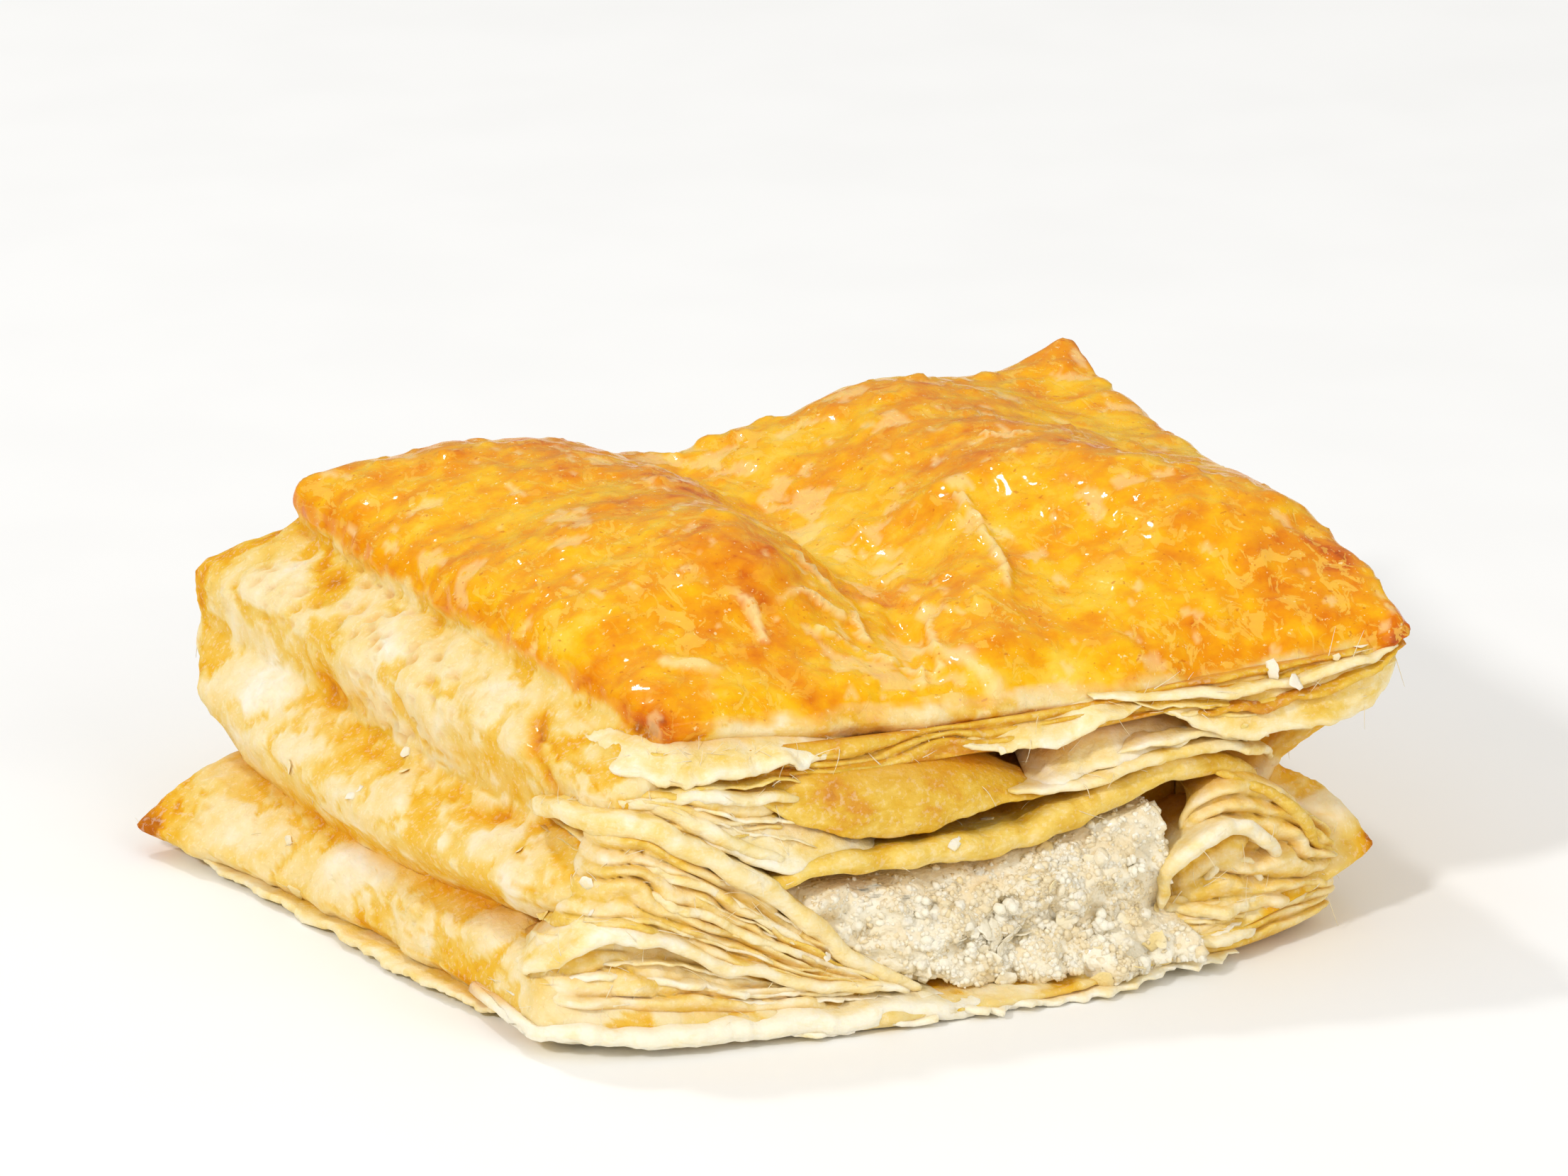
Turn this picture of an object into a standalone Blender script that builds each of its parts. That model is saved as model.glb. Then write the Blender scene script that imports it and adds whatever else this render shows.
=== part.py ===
"""A square coconut puff pastry with one side torn open, so that its leaves and its filling show.

+X runs along the torn side, +Y away from it, +Z up. The origin is in the middle of the flat face
that the pastry rests on. Sizes are in millimetres, and MM turns them into Blender's metres.
"""

from collections import namedtuple

import bmesh
import bpy
import numpy as np
from mathutils import Vector, noise

MM = 0.001

# Grid of the baked body: columns on each of its four sides, and rows between two rings.
SIDE_COLUMNS = 20
ROWS_PER_SPAN = 2

# The filling, and the gap between it and the pastry round it.
FILLING_GAP = 0.35
FILLING_COLUMNS = 60
FILLING_BACK_Y = 27.0
FILLING_BUMP = 0.9
FILLING_BUMP_SIZE = 2.6

# The hollow under the largest leaf: its middle and its half sizes.
HOLLOW_MIDDLE = (3.4, -36.0, 17.1)
HOLLOW_HALF_SIZES = (8.8, 15.0, 1.45)

# Bulges that the oven leaves in the sides: their height and their spacing.
BUBBLE_HEIGHT = 0.55
BUBBLE_SIZE = 7.5

# A ring runs once round the pastry. corners are front left, front right, back right and back left.
# out is how far the middle of the front, right, back and left side stands out of the straight
# line between its corners, and level is its height there. soft rounds the corners, in shares of
# a side. tight is 1 where the surface turns sharply at the ring. square is how long the front
# side keeps its place towards its corners: 2 is an even bow, and more is squarer.
Ring = namedtuple("Ring", "name corners out level soft tight square")

RINGS = (
    Ring("rim",
         ((-25.4, -38.0, 29.0), (51.0, -43.5, 31.0), (53.4, 38.0, 38.8), (-32.4, 38.0, 33.0)),
         (-2.5, 0.4, -1.5, 1.0), (28.4, 34.6, 31.6, 32.0), 0.02, 0.7, 4),
    Ring("lip",
         ((-25.6, -38.2, 27.6), (51.4, -43.8, 29.8), (53.6, 38.2, 37.0), (-32.6, 38.4, 31.2)),
         (-2.7, 0.6, -1.3, 1.2), (27.0, 32.8, 30.0, 30.2), 0.02, 0.5, 4),
    Ring("neck",
         ((-27.0, -38.0, 26.2), (48.0, -42.0, 28.8), (51.4, 36.4, 34.6), (-33.0, 38.2, 29.2)),
         (-4.5, 0.0, -1.5, 0.5), (26.0, 30.6, 28.0, 28.4), 0.03, 0.3, 8),
    Ring("shoulder",
         ((-31.8, -41.2, 23.8), (48.6, -43.2, 27.4), (55.0, 42.0, 27.6), (-40.6, 46.8, 23.4)),
         (-9.0, 1.8, 1.6, 0.2), (22.5, 26.0, 24.6, 24.0), 0.05, 0.2, 8),
    Ring("groove",
         ((-32.0, -41.0, 19.2), (44.6, -43.0, 23.6), (53.4, 41.0, 22.0), (-41.4, 46.4, 18.6)),
         (-10.0, 0.2, 0.0, -0.6), (18.0, 20.5, 19.0, 17.6), 0.06, 0.5, 8),
    Ring("belly",
         ((-36.8, -43.0, 14.0), (42.4, -41.0, 20.4), (55.4, 41.0, 16.0), (-43.4, 43.0, 14.0)),
         (-10.6, 2.6, 2.4, 2.4), (12.0, 15.2, 14.6, 13.0), 0.10, 0.0, 8),
    Ring("crease",
         ((-31.8, -35.0, 9.3), (41.0, -36.4, 17.2), (47.6, 31.5, 10.4), (-41.4, 32.0, 8.2)),
         (-1.4, 1.0, 1.0, 4.0), (1.9, 9.0, 8.6, 8.2), 0.05, 0.8, 6),
    Ring("flap",
         ((-38.4, -41.6, 8.4), (46.4, -36.0, 13.0), (50.8, 34.0, 8.2), (-47.8, 30.8, 6.4)),
         (4.4, 1.4, 1.6, -1.0), (1.8, 7.2, 6.8, 6.0), 0.03, 0.2, 2.5),
    Ring("tip",
         ((-40.0, -43.8, 3.8), (50.2, -38.4, 7.4), (54.0, 36.6, 4.6), (-53.3, 29.2, 2.8)),
         (8.6, 0.6, 1.8, -3.6), (1.2, 3.8, 3.4, 2.6), 0.015, 0.7, 2),
    Ring("under",
         ((-37.8, -42.6, 1.2), (44.8, -36.0, 3.0), (50.4, 33.6, 1.5), (-50.4, 27.8, 1.2)),
         (8.6, 1.2, 1.2, -3.2), (0.3, 1.0, 0.9, 0.8), 0.03, 0.2, 2),
    Ring("sole",
         ((-33.0, -38.0, 0.0), (39.0, -34.0, 0.0), (44.0, 28.0, 0.0), (-42.0, 21.0, 0.0)),
         (7.0, 1.0, 1.0, -2.0), (0.0, 0.0, 0.0, 0.0), 0.06, 0.0, 2),
)
OUTWARD = np.array(((0, -1, 0), (1, 0, 0), (0, 1, 0), (-1, 0, 0)), float)

# The glazed top: ridges and valleys as lines in plan, with their height and half width.
Line = namedtuple("Line", "points height width")
TOP_LINES = (
    Line(((-18.0, 31.0), (-14.0, 8.0), (-15.0, -14.0)), 6.0, 12.5),
    Line(((-6.0, 29.0), (-3.0, 10.0), (-3.5, -9.0), (-8.0, -20.0)), 3.4, 6.5),
    Line(((28.0, 29.0), (31.0, 8.0), (35.0, -8.0), (41.0, -20.0)), 8.6, 14.0),
    Line(((7.0, 34.0), (8.0, 18.0), (7.0, -4.0), (3.0, -36.0)), -1.2, 4.5),
    Line(((11.0, -4.0), (7.0, -20.0), (2.5, -37.0)), -0.8, 1.6),
    Line(((20.0, -4.0), (17.0, -20.0), (12.0, -34.0)), 2.2, 3.6),
)
TOP_EDGE_POWER = 0.3

# A leaf of dough: its free lip and its root in the body, its thickness, and how far its middle
# stands out of the straight way between them, along Y and along Z.
Leaf = namedtuple("Leaf", "name lip root thick bulge")


def ribbon(name, lip, thick, root_y=-29.0, root_rise=0.0, bulge=(0.0, 0.0)):
    """A leaf that runs level from its lip straight back into the body."""
    root = [(x, root_y, z + root_rise) for x, _, z in lip]
    return Leaf(name, lip, root, thick, bulge)


LEAVES = (
    ribbon("fold_over_filling",
           [(-17.5, -45.0, 14.4), (-11.0, -45.6, 15.7), (-1.0, -45.0, 15.4), (8.0, -44.4, 15.2),
            (17.3, -43.2, 17.2), (26.0, -42.0, 19.0), (33.0, -41.0, 18.0), (38.0, -39.0, 14.0)],
           2.3, root_rise=-1.0),
    ribbon("long_fold",
           [(-31.4, -38.0, 22.8), (-28.0, -43.6, 20.8), (-21.5, -45.5, 17.0), (-14.5, -45.4, 11.6),
            (-8.0, -45.6, 5.4), (-2.0, -46.2, 2.4)], 2.4),
    ribbon("second_fold",
           [(-30.4, -38.0, 24.0), (-25.4, -43.8, 21.4), (-19.0, -45.0, 17.8), (-12.0, -44.6, 15.4)], 1.8),
    ribbon("left_leaf_1",
           [(-31.6, -38.0, 19.0), (-27.2, -44.2, 17.4), (-20.4, -45.2, 13.6), (-10.0, -45.4, 6.4)], 2.3),
    ribbon("left_leaf_2",
           [(-33.6, -38.0, 15.8), (-28.4, -44.8, 14.7), (-20.0, -45.8, 10.6), (-6.0, -46.4, 3.8)], 2.3),
    ribbon("left_leaf_3",
           [(-35.6, -38.6, 12.8), (-29.0, -45.0, 12.0), (-20.0, -46.4, 8.2), (-6.0, -46.8, 3.4)], 2.1),
    ribbon("corner_fold",
           [(-36.4, -37.0, 9.4), (-33.0, -44.6, 10.2), (-27.4, -46.2, 9.4), (-18.0, -46.8, 6.1),
            (-6.0, -47.4, 3.2)], 1.8),
    ribbon("corner_leaf",
           [(-37.6, -38.0, 6.0), (-31.0, -45.0, 6.2), (-19.0, -46.6, 4.0), (-6.0, -47.6, 2.4)], 1.6),
    Leaf("petal",
         [(-17.0, -41.0, 21.6), (-8.0, -43.0, 17.6), (-1.0, -43.4, 17.7), (5.0, -43.0, 18.9),
          (13.4, -41.6, 18.6)],
         [(-15.0, -33.0, 23.6), (-6.3, -31.0, 25.0), (0.7, -31.0, 24.4), (7.6, -31.0, 22.6),
          (13.0, -33.0, 19.6)], 1.3, (-4.0, 1.2)),
    Leaf("white_flap",
         [(11.4, -42.4, 19.4), (19.4, -42.8, 20.6), (28.0, -42.8, 22.6)],
         [(12.8, -31.0, 22.0), (18.7, -31.0, 23.0), (28.5, -31.0, 23.6)], 1.1, (-3.0, 1.0)),
    Leaf("shelf_leaf",
         [(4.0, -40.6, 25.2), (10.0, -42.2, 23.8), (16.3, -43.0, 25.4), (22.5, -42.2, 27.2)],
         [(5.0, -31.0, 26.0), (10.0, -31.0, 26.4), (16.8, -31.0, 27.0), (22.0, -32.0, 27.4)], 1.3, (-2.0, 1.2)),
    Leaf("corner_drape",
         [(-31.8, -38.4, 25.0), (-27.4, -41.8, 25.8), (-20.0, -41.8, 25.9), (-11.0, -40.2, 25.0)],
         [(-30.0, -33.0, 27.0), (-25.0, -32.0, 27.6), (-18.8, -31.0, 27.2), (-11.0, -31.0, 26.4)],
         1.7, (-2.0, 1.0)),
    ribbon("left_band", [(-30.6, -39.0, 22.6), (-24.0, -42.8, 24.0), (-13.0, -42.0, 23.4)], 1.8),
    ribbon("crust_leaf",
           [(-16.0, -37.0, 26.2), (0.0, -39.6, 26.6), (12.0, -40.6, 27.0), (26.0, -41.0, 27.6)], 1.6),
    ribbon("tip_leaf_1",
           [(18.0, -41.0, 28.0), (30.0, -43.4, 27.2), (42.0, -44.0, 28.2), (50.0, -42.6, 29.4)], 1.3, root_y=-30.0),
    ribbon("tip_leaf_2",
           [(24.0, -41.4, 23.8), (33.0, -43.4, 23.8), (42.0, -44.2, 25.0), (49.0, -42.4, 26.8)], 2.4, root_y=-30.0),
    Leaf("arch",
         [(26.6, -41.6, 5.4), (26.8, -43.0, 11.0), (30.0, -43.8, 14.2), (35.0, -42.6, 13.4), (38.0, -40.6, 8.4)],
         [(28.0, -30.0, 5.4), (28.4, -30.0, 10.4), (31.0, -30.0, 13.2), (34.4, -30.0, 12.6), (37.0, -30.0, 8.0)],
         1.8, (0.0, 0.0)),
    ribbon("arch_inner",
           [(27.6, -40.0, 7.4), (30.6, -41.6, 10.6), (34.0, -41.0, 10.4), (36.6, -39.0, 7.0)], 1.4),
    ribbon("right_leaf_1", [(25.2, -43.4, 5.4), (31.4, -44.2, 5.0), (40.0, -40.0, 5.6)], 1.7),
    ribbon("right_leaf_2", [(24.0, -46.0, 3.0), (31.0, -46.0, 2.6), (38.6, -41.0, 2.8)], 1.6),
    ribbon("right_leaf_3", [(34.0, -40.0, 17.0), (39.0, -41.0, 13.4), (42.0, -38.0, 8.4)], 2.0, root_y=-28.0),
)
LIP_WOBBLE = 0.45
LIP_WOBBLE_SIZE = 4.0
LEAF_STATIONS = 11
LEAF_STEPS = 3

# The filling's outline at the torn side, as (x, z), and the half sizes it has further in.
FILLING_FRONT = (
    (-15.4, 12.5), (-6.0, 12.9), (6.0, 13.1), (17.8, 15.0), (25.4, 15.8), (26.4, 9.0),
    (25.0, 2.2), (14.0, 1.9), (2.0, 2.1), (-6.0, 3.9), (-11.5, 8.0),
)
FILLING_INNER_MIDDLE = (5.0, 7.2)
FILLING_INNER_HALF = (31.0, 3.9)
FILLING_FACE_MIDDLE = (7.0, 8.2)
# The rings on its torn face, as shares of the way from the middle to the outline.
FILLING_FACE_SHARES = (0.1, 0.24, 0.38, 0.52, 0.66, 0.78, 0.89, 0.96)


def clear_scene():
    """Removes every object that the startup file holds."""
    for obj in list(bpy.data.objects):
        bpy.data.objects.remove(obj, do_unlink=True)


def new_collection(name):
    """A collection of that name in the scene."""
    collection = bpy.data.collections.new(name)
    bpy.context.scene.collection.children.link(collection)
    return collection


def baked_material(name, colour, roughness):
    """A plain food material."""
    material = bpy.data.materials.new(name)
    material.use_nodes = True
    shader = material.node_tree.nodes["Principled BSDF"]
    shader.inputs["Base Color"].default_value = (*colour, 1.0)
    shader.inputs["Roughness"].default_value = roughness
    shader.inputs["Metallic"].default_value = 0.0
    return material


def mesh_object(name, points, faces, collection):
    """A closed mesh object from points in millimetres."""
    mesh = bpy.data.meshes.new(name)
    mesh.from_pydata([tuple(p) for p in np.asarray(points) * MM], [], faces)
    cleaned = bmesh.new()
    cleaned.from_mesh(mesh)
    bmesh.ops.recalc_face_normals(cleaned, faces=cleaned.faces)
    cleaned.to_mesh(mesh)
    cleaned.free()
    obj = bpy.data.objects.new(name, mesh)
    collection.objects.link(obj)
    return obj


def spline(points, count, closed=False):
    """count points spaced evenly by parameter on a smooth curve through the given ones."""
    points = np.asarray(points, float)
    last = len(points) if closed else len(points) - 1
    if closed:
        around = np.vstack((points[-1:], points, points[:2]))
        place = np.arange(count) * last / count
    else:
        around = np.vstack((2 * points[0] - points[1], points, 2 * points[-1] - points[-2]))
        place = np.linspace(0.0, last, count)
    span = np.minimum(place.astype(int), last - 1)
    t = (place - span)[:, None]
    before, start, end, after = (around[span + k] for k in range(4))
    return (start
            + 0.5 * t * (end - before)
            + t ** 2 * (before - 2.5 * start + 2 * end - 0.5 * after)
            + 0.5 * t ** 3 * (after - before + 3 * (start - end)))


def ring_at(ring, place):
    """Points on a ring. place runs from 0 to 4, one unit a side."""
    corners = np.array(ring.corners, float)
    side = np.floor(place).astype(int) % 4
    t = place - np.floor(place)
    line = corners[side] * (1 - t)[:, None] + corners[(side + 1) % 4] * t[:, None]
    bow = 1 - np.abs(2 * t - 1) ** np.array((ring.square, 2, 2, 2))[side]
    line += OUTWARD[side] * (np.array(ring.out)[side] * bow)[:, None]
    line[:, 2] = line[:, 2] * (1 - bow) + np.array(ring.level)[side] * bow
    return line


def soft_ring(ring, place):
    """The ring with its corners rounded, by averaging along it."""
    shifts = np.linspace(-1.0, 1.0, 7) * ring.soft
    return np.mean([ring_at(ring, (place + shift) % 4) for shift in shifts], axis=0)


def wall_rows():
    """Rows of points from the rim down to the resting face, each once round the pastry."""
    place = np.arange(4 * SIDE_COLUMNS) / SIDE_COLUMNS
    rings = np.array([soft_ring(ring, place) for ring in RINGS])
    slack = np.array([1 - ring.tight for ring in RINGS])[:, None, None]
    slopes = np.gradient(rings, axis=0) * slack
    rows = []
    for k in range(len(rings) - 1):
        for t in np.arange(ROWS_PER_SPAN) / ROWS_PER_SPAN:
            rows.append((2 * t ** 3 - 3 * t ** 2 + 1) * rings[k]
                        + (t ** 3 - 2 * t ** 2 + t) * slopes[k]
                        + (3 * t ** 2 - 2 * t ** 3) * rings[k + 1]
                        + (t ** 3 - t ** 2) * slopes[k + 1])
    rows.append(rings[-1])
    return np.array(rows)


def add_bubbles(rows):
    """Swells the walls by a smooth noise, fading out at the rim and the resting face."""
    depth = np.linspace(0.0, 1.0, len(rows))
    strength = np.clip(np.minimum(depth / 0.25, (1 - depth) / 0.25), 0, 1)
    for row, share in zip(rows[1:-1], strength[1:-1]):
        middle = row.mean(axis=0)
        outward = row - middle
        outward[:, 2] = 0
        outward /= np.linalg.norm(outward, axis=1)[:, None]
        swell = np.array([noise.noise(Vector(p) / BUBBLE_SIZE) for p in row])
        row += outward * (swell * BUBBLE_HEIGHT * share)[:, None]
    return rows


def line_distance(x, y, points):
    """Distance in plan from (x, y) to a line through the given points."""
    nearest = np.full(x.shape, np.inf)
    for (ax, ay), (bx, by) in zip(points, points[1:]):
        dx, dy = bx - ax, by - ay
        t = np.clip(((x - ax) * dx + (y - ay) * dy) / (dx * dx + dy * dy), 0, 1)
        nearest = np.minimum(nearest, np.hypot(x - ax - t * dx, y - ay - t * dy))
    return nearest


def patch(row):
    """A square grid of points that spans one closed row, which keeps the row as its border."""
    n = SIDE_COLUMNS
    front, right = row[:n + 1], row[n:2 * n + 1]
    back = row[2 * n:3 * n + 1][::-1]
    left = np.vstack((row[3 * n:], row[:1]))[::-1]
    u = np.linspace(0, 1, n + 1)[None, :, None]
    v = np.linspace(0, 1, n + 1)[:, None, None]
    across = front[None] * (1 - v) + back[None] * v
    along = left[:, None] * (1 - u) + right[:, None] * u
    flat = ((1 - u) * (1 - v) * front[0] + u * (1 - v) * front[-1]
            + (1 - u) * v * back[0] + u * v * back[-1])
    return across + along - flat


def crust(row):
    """The glazed top: a patch over the rim, raised into its two lobes with the dip between."""
    grid = patch(row)
    u = np.linspace(0, 1, SIDE_COLUMNS + 1)
    edge = np.clip(16 * np.outer(u * (1 - u), u * (1 - u)), 0, 1) ** TOP_EDGE_POWER
    for line in TOP_LINES:
        away = line_distance(grid[..., 0], grid[..., 1], line.points)
        grid[..., 2] += line.height * np.exp(-(away / line.width) ** 2) * edge
    return grid


def border(n):
    """Grid indices (row, column) once round a patch, in the order of a ring."""
    front = [(0, k) for k in range(n)]
    right = [(k, n) for k in range(n)]
    back = [(n, n - k) for k in range(n)]
    left = [(n - k, 0) for k in range(n)]
    return front + right + back + left


def add_patch(points, faces, grid, ring_ids):
    """Joins a patch to the ring that borders it."""
    n = SIDE_COLUMNS
    ids = -np.ones((n + 1, n + 1), int)
    for cell, ring_id in zip(border(n), ring_ids):
        ids[cell] = ring_id
    for i in range(1, n):
        for j in range(1, n):
            ids[i, j] = len(points)
            points.append(grid[i, j])
    for i in range(n):
        for j in range(n):
            faces.append([int(k) for k in (ids[i, j], ids[i, j + 1], ids[i + 1, j + 1], ids[i + 1, j])])


def make_body(collection):
    """The baked body without its torn leaves: top, bulging walls, crease, flap and resting face."""
    rows = add_bubbles(wall_rows())
    columns = rows.shape[1]
    points = [p for row in rows for p in row]
    faces = []
    for r in range(len(rows) - 1):
        for c in range(columns):
            d = (c + 1) % columns
            faces.append([r * columns + c, r * columns + d, (r + 1) * columns + d, (r + 1) * columns + c])
    last = (len(rows) - 1) * columns
    add_patch(points, faces, crust(rows[0]), range(columns))
    add_patch(points, faces, patch(rows[-1]), range(last, last + columns))
    return mesh_object("pastry", points, faces, collection)


def make_leaf(leaf, collection):
    """One leaf of dough as a closed curved sheet with a rounded lip and thinner ends."""
    lip = spline(leaf.lip, LEAF_STATIONS)
    lip += LIP_WOBBLE * np.array([noise.noise_vector(Vector(p) / LIP_WOBBLE_SIZE) for p in lip])
    root = spline(leaf.root, LEAF_STATIONS)
    swell = np.array((0.0, leaf.bulge[0], leaf.bulge[1]))
    along = np.gradient(lip, axis=0)
    sections = []
    for k, (edge, inner) in enumerate(zip(lip, root)):
        share = k / (LEAF_STATIONS - 1)
        half = 0.5 * leaf.thick * (0.35 + 0.65 * np.sqrt(4 * share * (1 - share)))
        middle = 0.5 * (edge + inner) + swell * 4 * share * (1 - share)
        steps = np.linspace(0, 1, LEAF_STEPS)[:, None]
        line = (1 - steps) ** 2 * inner + 2 * steps * (1 - steps) * middle + steps ** 2 * edge
        facing = np.cross(along[k], np.gradient(line, axis=0))
        facing /= np.linalg.norm(facing, axis=1)[:, None]
        outer = line[-1:] + (line[-1:] - line[-2:-1]) / np.linalg.norm(line[-1] - line[-2]) * half * 0.6
        thickness = half * np.linspace(1.0, 0.75, LEAF_STEPS)[:, None]
        sections.append(np.vstack((line + facing * thickness, outer, (line - facing * thickness)[::-1])))
    size = len(sections[0])
    points = np.vstack(sections)
    faces = [list(range(size)), list(range((LEAF_STATIONS - 1) * size, LEAF_STATIONS * size))]
    for s in range(LEAF_STATIONS - 1):
        for p in range(size):
            q = (p + 1) % size
            faces.append([s * size + p, s * size + q, (s + 1) * size + q, (s + 1) * size + p])
    return mesh_object("leaf_" + leaf.name, points, faces, collection)


def filling_rings():
    """Rings of the filling, from the middle of its torn face over the edge to its back."""
    outline = spline(FILLING_FRONT, FILLING_COLUMNS, closed=True)
    angle = np.arctan2(outline[:, 1] - FILLING_FACE_MIDDLE[1], outline[:, 0] - FILLING_FACE_MIDDLE[0])
    inner = np.stack((
        FILLING_INNER_MIDDLE[0] + FILLING_INNER_HALF[0] * np.sign(np.cos(angle)) * np.abs(np.cos(angle)) ** 0.5,
        FILLING_INNER_MIDDLE[1] + FILLING_INNER_HALF[1] * np.sign(np.sin(angle)) * np.abs(np.sin(angle)) ** 0.5,
    ), axis=1)
    rings = []
    for share in FILLING_FACE_SHARES:
        flat = np.array(FILLING_FACE_MIDDLE) * (1 - share) + outline * share
        forward = -45.4 + 2.4 * share ** 3 - 1.6 * (1 - flat[:, 1] / 16.0)
        rings.append(np.column_stack((flat[:, 0], forward, flat[:, 1])))
    for y, blend, scale in ((-41.0, 0.0, 1.0), (-34.0, 0.12, 0.97), (-24.0, 0.7, 1.0), (-6.0, 1.0, 1.0),
                            (14.0, 1.0, 0.92), (FILLING_BACK_Y - 1.5, 1.0, 0.7)):
        flat = outline * (1 - blend) + inner * blend
        middle = flat.mean(axis=0)
        flat = middle + (flat - middle) * scale
        rings.append(np.column_stack((flat[:, 0], np.full(len(flat), y), flat[:, 1])))
    return rings


def make_filling(name, grow, collection):
    """The coconut filling, which runs through the pastry; grow swells it into the pocket's cutter."""
    rings = filling_rings()
    points = [(FILLING_FACE_MIDDLE[0], rings[0][:, 1].mean(), FILLING_FACE_MIDDLE[1])]
    for k, ring in enumerate(rings):
        for p in ring:
            at = Vector(p) / FILLING_BUMP_SIZE
            if k <= len(FILLING_FACE_SHARES):
                bump = noise.noise_vector(at) * FILLING_BUMP
                share = 1.0 if k < len(FILLING_FACE_SHARES) else 0.3
                p = p + np.array((bump.x * 0.5, bump.y * 1.3, bump.z * 0.5)) * share
            points.append(tuple(p))
    points.append((FILLING_INNER_MIDDLE[0], FILLING_BACK_Y, FILLING_INNER_MIDDLE[1]))
    faces = []
    for c in range(FILLING_COLUMNS):
        d = (c + 1) % FILLING_COLUMNS
        faces.append([0, 1 + c, 1 + d])
        for r in range(len(rings) - 1):
            here, there = 1 + r * FILLING_COLUMNS, 1 + (r + 1) * FILLING_COLUMNS
            faces.append([here + c, there + c, there + d, here + d])
        back = 1 + (len(rings) - 1) * FILLING_COLUMNS
        faces.append([back + c, len(points) - 1, back + d])
    obj = mesh_object(name, points, faces, collection)
    if grow:
        for vertex, normal in [(v, v.normal.copy()) for v in obj.data.vertices]:
            vertex.co += normal * grow * MM
    return obj


def make_hollow(collection):
    """The cutter of the hollow under the petal."""
    bpy.ops.mesh.primitive_uv_sphere_add(segments=20, ring_count=10, radius=1.0)
    hollow = bpy.context.object
    hollow.name = "hollow_cutter"
    hollow.scale = [half * MM for half in HOLLOW_HALF_SIZES]
    hollow.location = [middle * MM for middle in HOLLOW_MIDDLE]
    bpy.ops.object.transform_apply(location=False, rotation=False, scale=True)
    for other in list(hollow.users_collection):
        other.objects.unlink(hollow)
    collection.objects.link(hollow)
    return hollow


def as_cutter(obj):
    """Keeps a helper out of the model."""
    obj.hide_render = True
    obj.display_type = "WIRE"


def apply_boolean(obj, operation, collection, solver):
    """Joins or cuts a collection of meshes with obj, at once, and keeps the result as its mesh."""
    modifier = obj.modifiers.new(operation.title(), "BOOLEAN")
    modifier.operation = operation
    modifier.operand_type = "COLLECTION"
    modifier.collection = collection
    modifier.solver = solver
    bpy.context.view_layer.update()
    made = bpy.data.meshes.new_from_object(obj.evaluated_get(bpy.context.evaluated_depsgraph_get()))
    obj.modifiers.remove(modifier)
    old = obj.data
    obj.data = made
    bpy.data.meshes.remove(old)


def remove_all(collection):
    """Removes a collection with its objects."""
    for obj in list(collection.objects):
        bpy.data.objects.remove(obj, do_unlink=True)
    bpy.data.collections.remove(collection)


def keep_largest_piece(obj):
    """Drops the scraps that a cut leaves loose."""
    work = bmesh.new()
    work.from_mesh(obj.data)
    work.verts.ensure_lookup_table()
    seen, pieces = set(), []
    for start in work.verts:
        if start.index in seen:
            continue
        piece, queue = [], [start]
        seen.add(start.index)
        while queue:
            vertex = queue.pop()
            piece.append(vertex)
            for edge in vertex.link_edges:
                other = edge.other_vert(vertex)
                if other.index not in seen:
                    seen.add(other.index)
                    queue.append(other)
        pieces.append(piece)
    pieces.sort(key=len)
    for piece in pieces[:-1]:
        bmesh.ops.delete(work, geom=piece, context="VERTS")
    work.to_mesh(obj.data)
    work.free()


def finish_surface(obj, material):
    """Gives a solid its material and smooth shading with its sharp folds kept."""
    obj.data.materials.clear()
    obj.data.materials.append(material)
    obj.data.shade_smooth()
    obj.data.set_sharp_from_angle(angle=0.9)


def main():
    clear_scene()
    pastry_parts = new_collection("coconut_pastry")
    leaves = new_collection("leaves")
    cutters = new_collection("cutters")

    pastry = make_body(pastry_parts)
    for leaf in LEAVES:
        make_leaf(leaf, leaves)
    apply_boolean(pastry, "UNION", leaves, "MANIFOLD")
    remove_all(leaves)

    make_filling("pocket_cutter", FILLING_GAP, cutters)
    make_hollow(cutters)
    for cutter in cutters.objects:
        as_cutter(cutter)
    apply_boolean(pastry, "DIFFERENCE", cutters, "MANIFOLD")
    keep_largest_piece(pastry)
    remove_all(cutters)

    filling = make_filling("coconut_filling", 0.0, pastry_parts)
    finish_surface(pastry, baked_material("baked_pastry", (0.90, 0.60, 0.20), 0.45))
    finish_surface(filling, baked_material("coconut", (0.88, 0.84, 0.74), 0.6))


main()
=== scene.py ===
"""The looks of a square coconut puff pastry with one side torn open.

+X runs along the torn side, +Y away from it, +Z up, and the pastry rests on Z = 0. Sizes are in
millimetres, and MM turns them into Blender's metres.
"""

import math
from collections import namedtuple

import bmesh
import bpy
import numpy as np
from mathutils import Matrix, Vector


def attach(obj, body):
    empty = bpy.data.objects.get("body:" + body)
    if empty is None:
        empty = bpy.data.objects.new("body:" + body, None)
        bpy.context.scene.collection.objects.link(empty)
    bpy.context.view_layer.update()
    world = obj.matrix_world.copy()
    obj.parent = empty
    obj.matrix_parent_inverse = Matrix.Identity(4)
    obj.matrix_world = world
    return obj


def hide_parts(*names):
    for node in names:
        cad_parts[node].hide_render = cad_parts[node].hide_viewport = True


MM = 0.001

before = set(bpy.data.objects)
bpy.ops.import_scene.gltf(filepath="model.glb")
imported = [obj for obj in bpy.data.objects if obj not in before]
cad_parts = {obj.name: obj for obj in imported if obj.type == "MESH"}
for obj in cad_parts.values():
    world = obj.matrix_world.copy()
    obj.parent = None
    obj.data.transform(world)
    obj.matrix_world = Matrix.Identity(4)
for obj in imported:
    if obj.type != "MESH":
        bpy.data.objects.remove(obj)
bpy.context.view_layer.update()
rng = np.random.default_rng(11)


# Noise: smooth random fields over points in millimetres.

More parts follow.
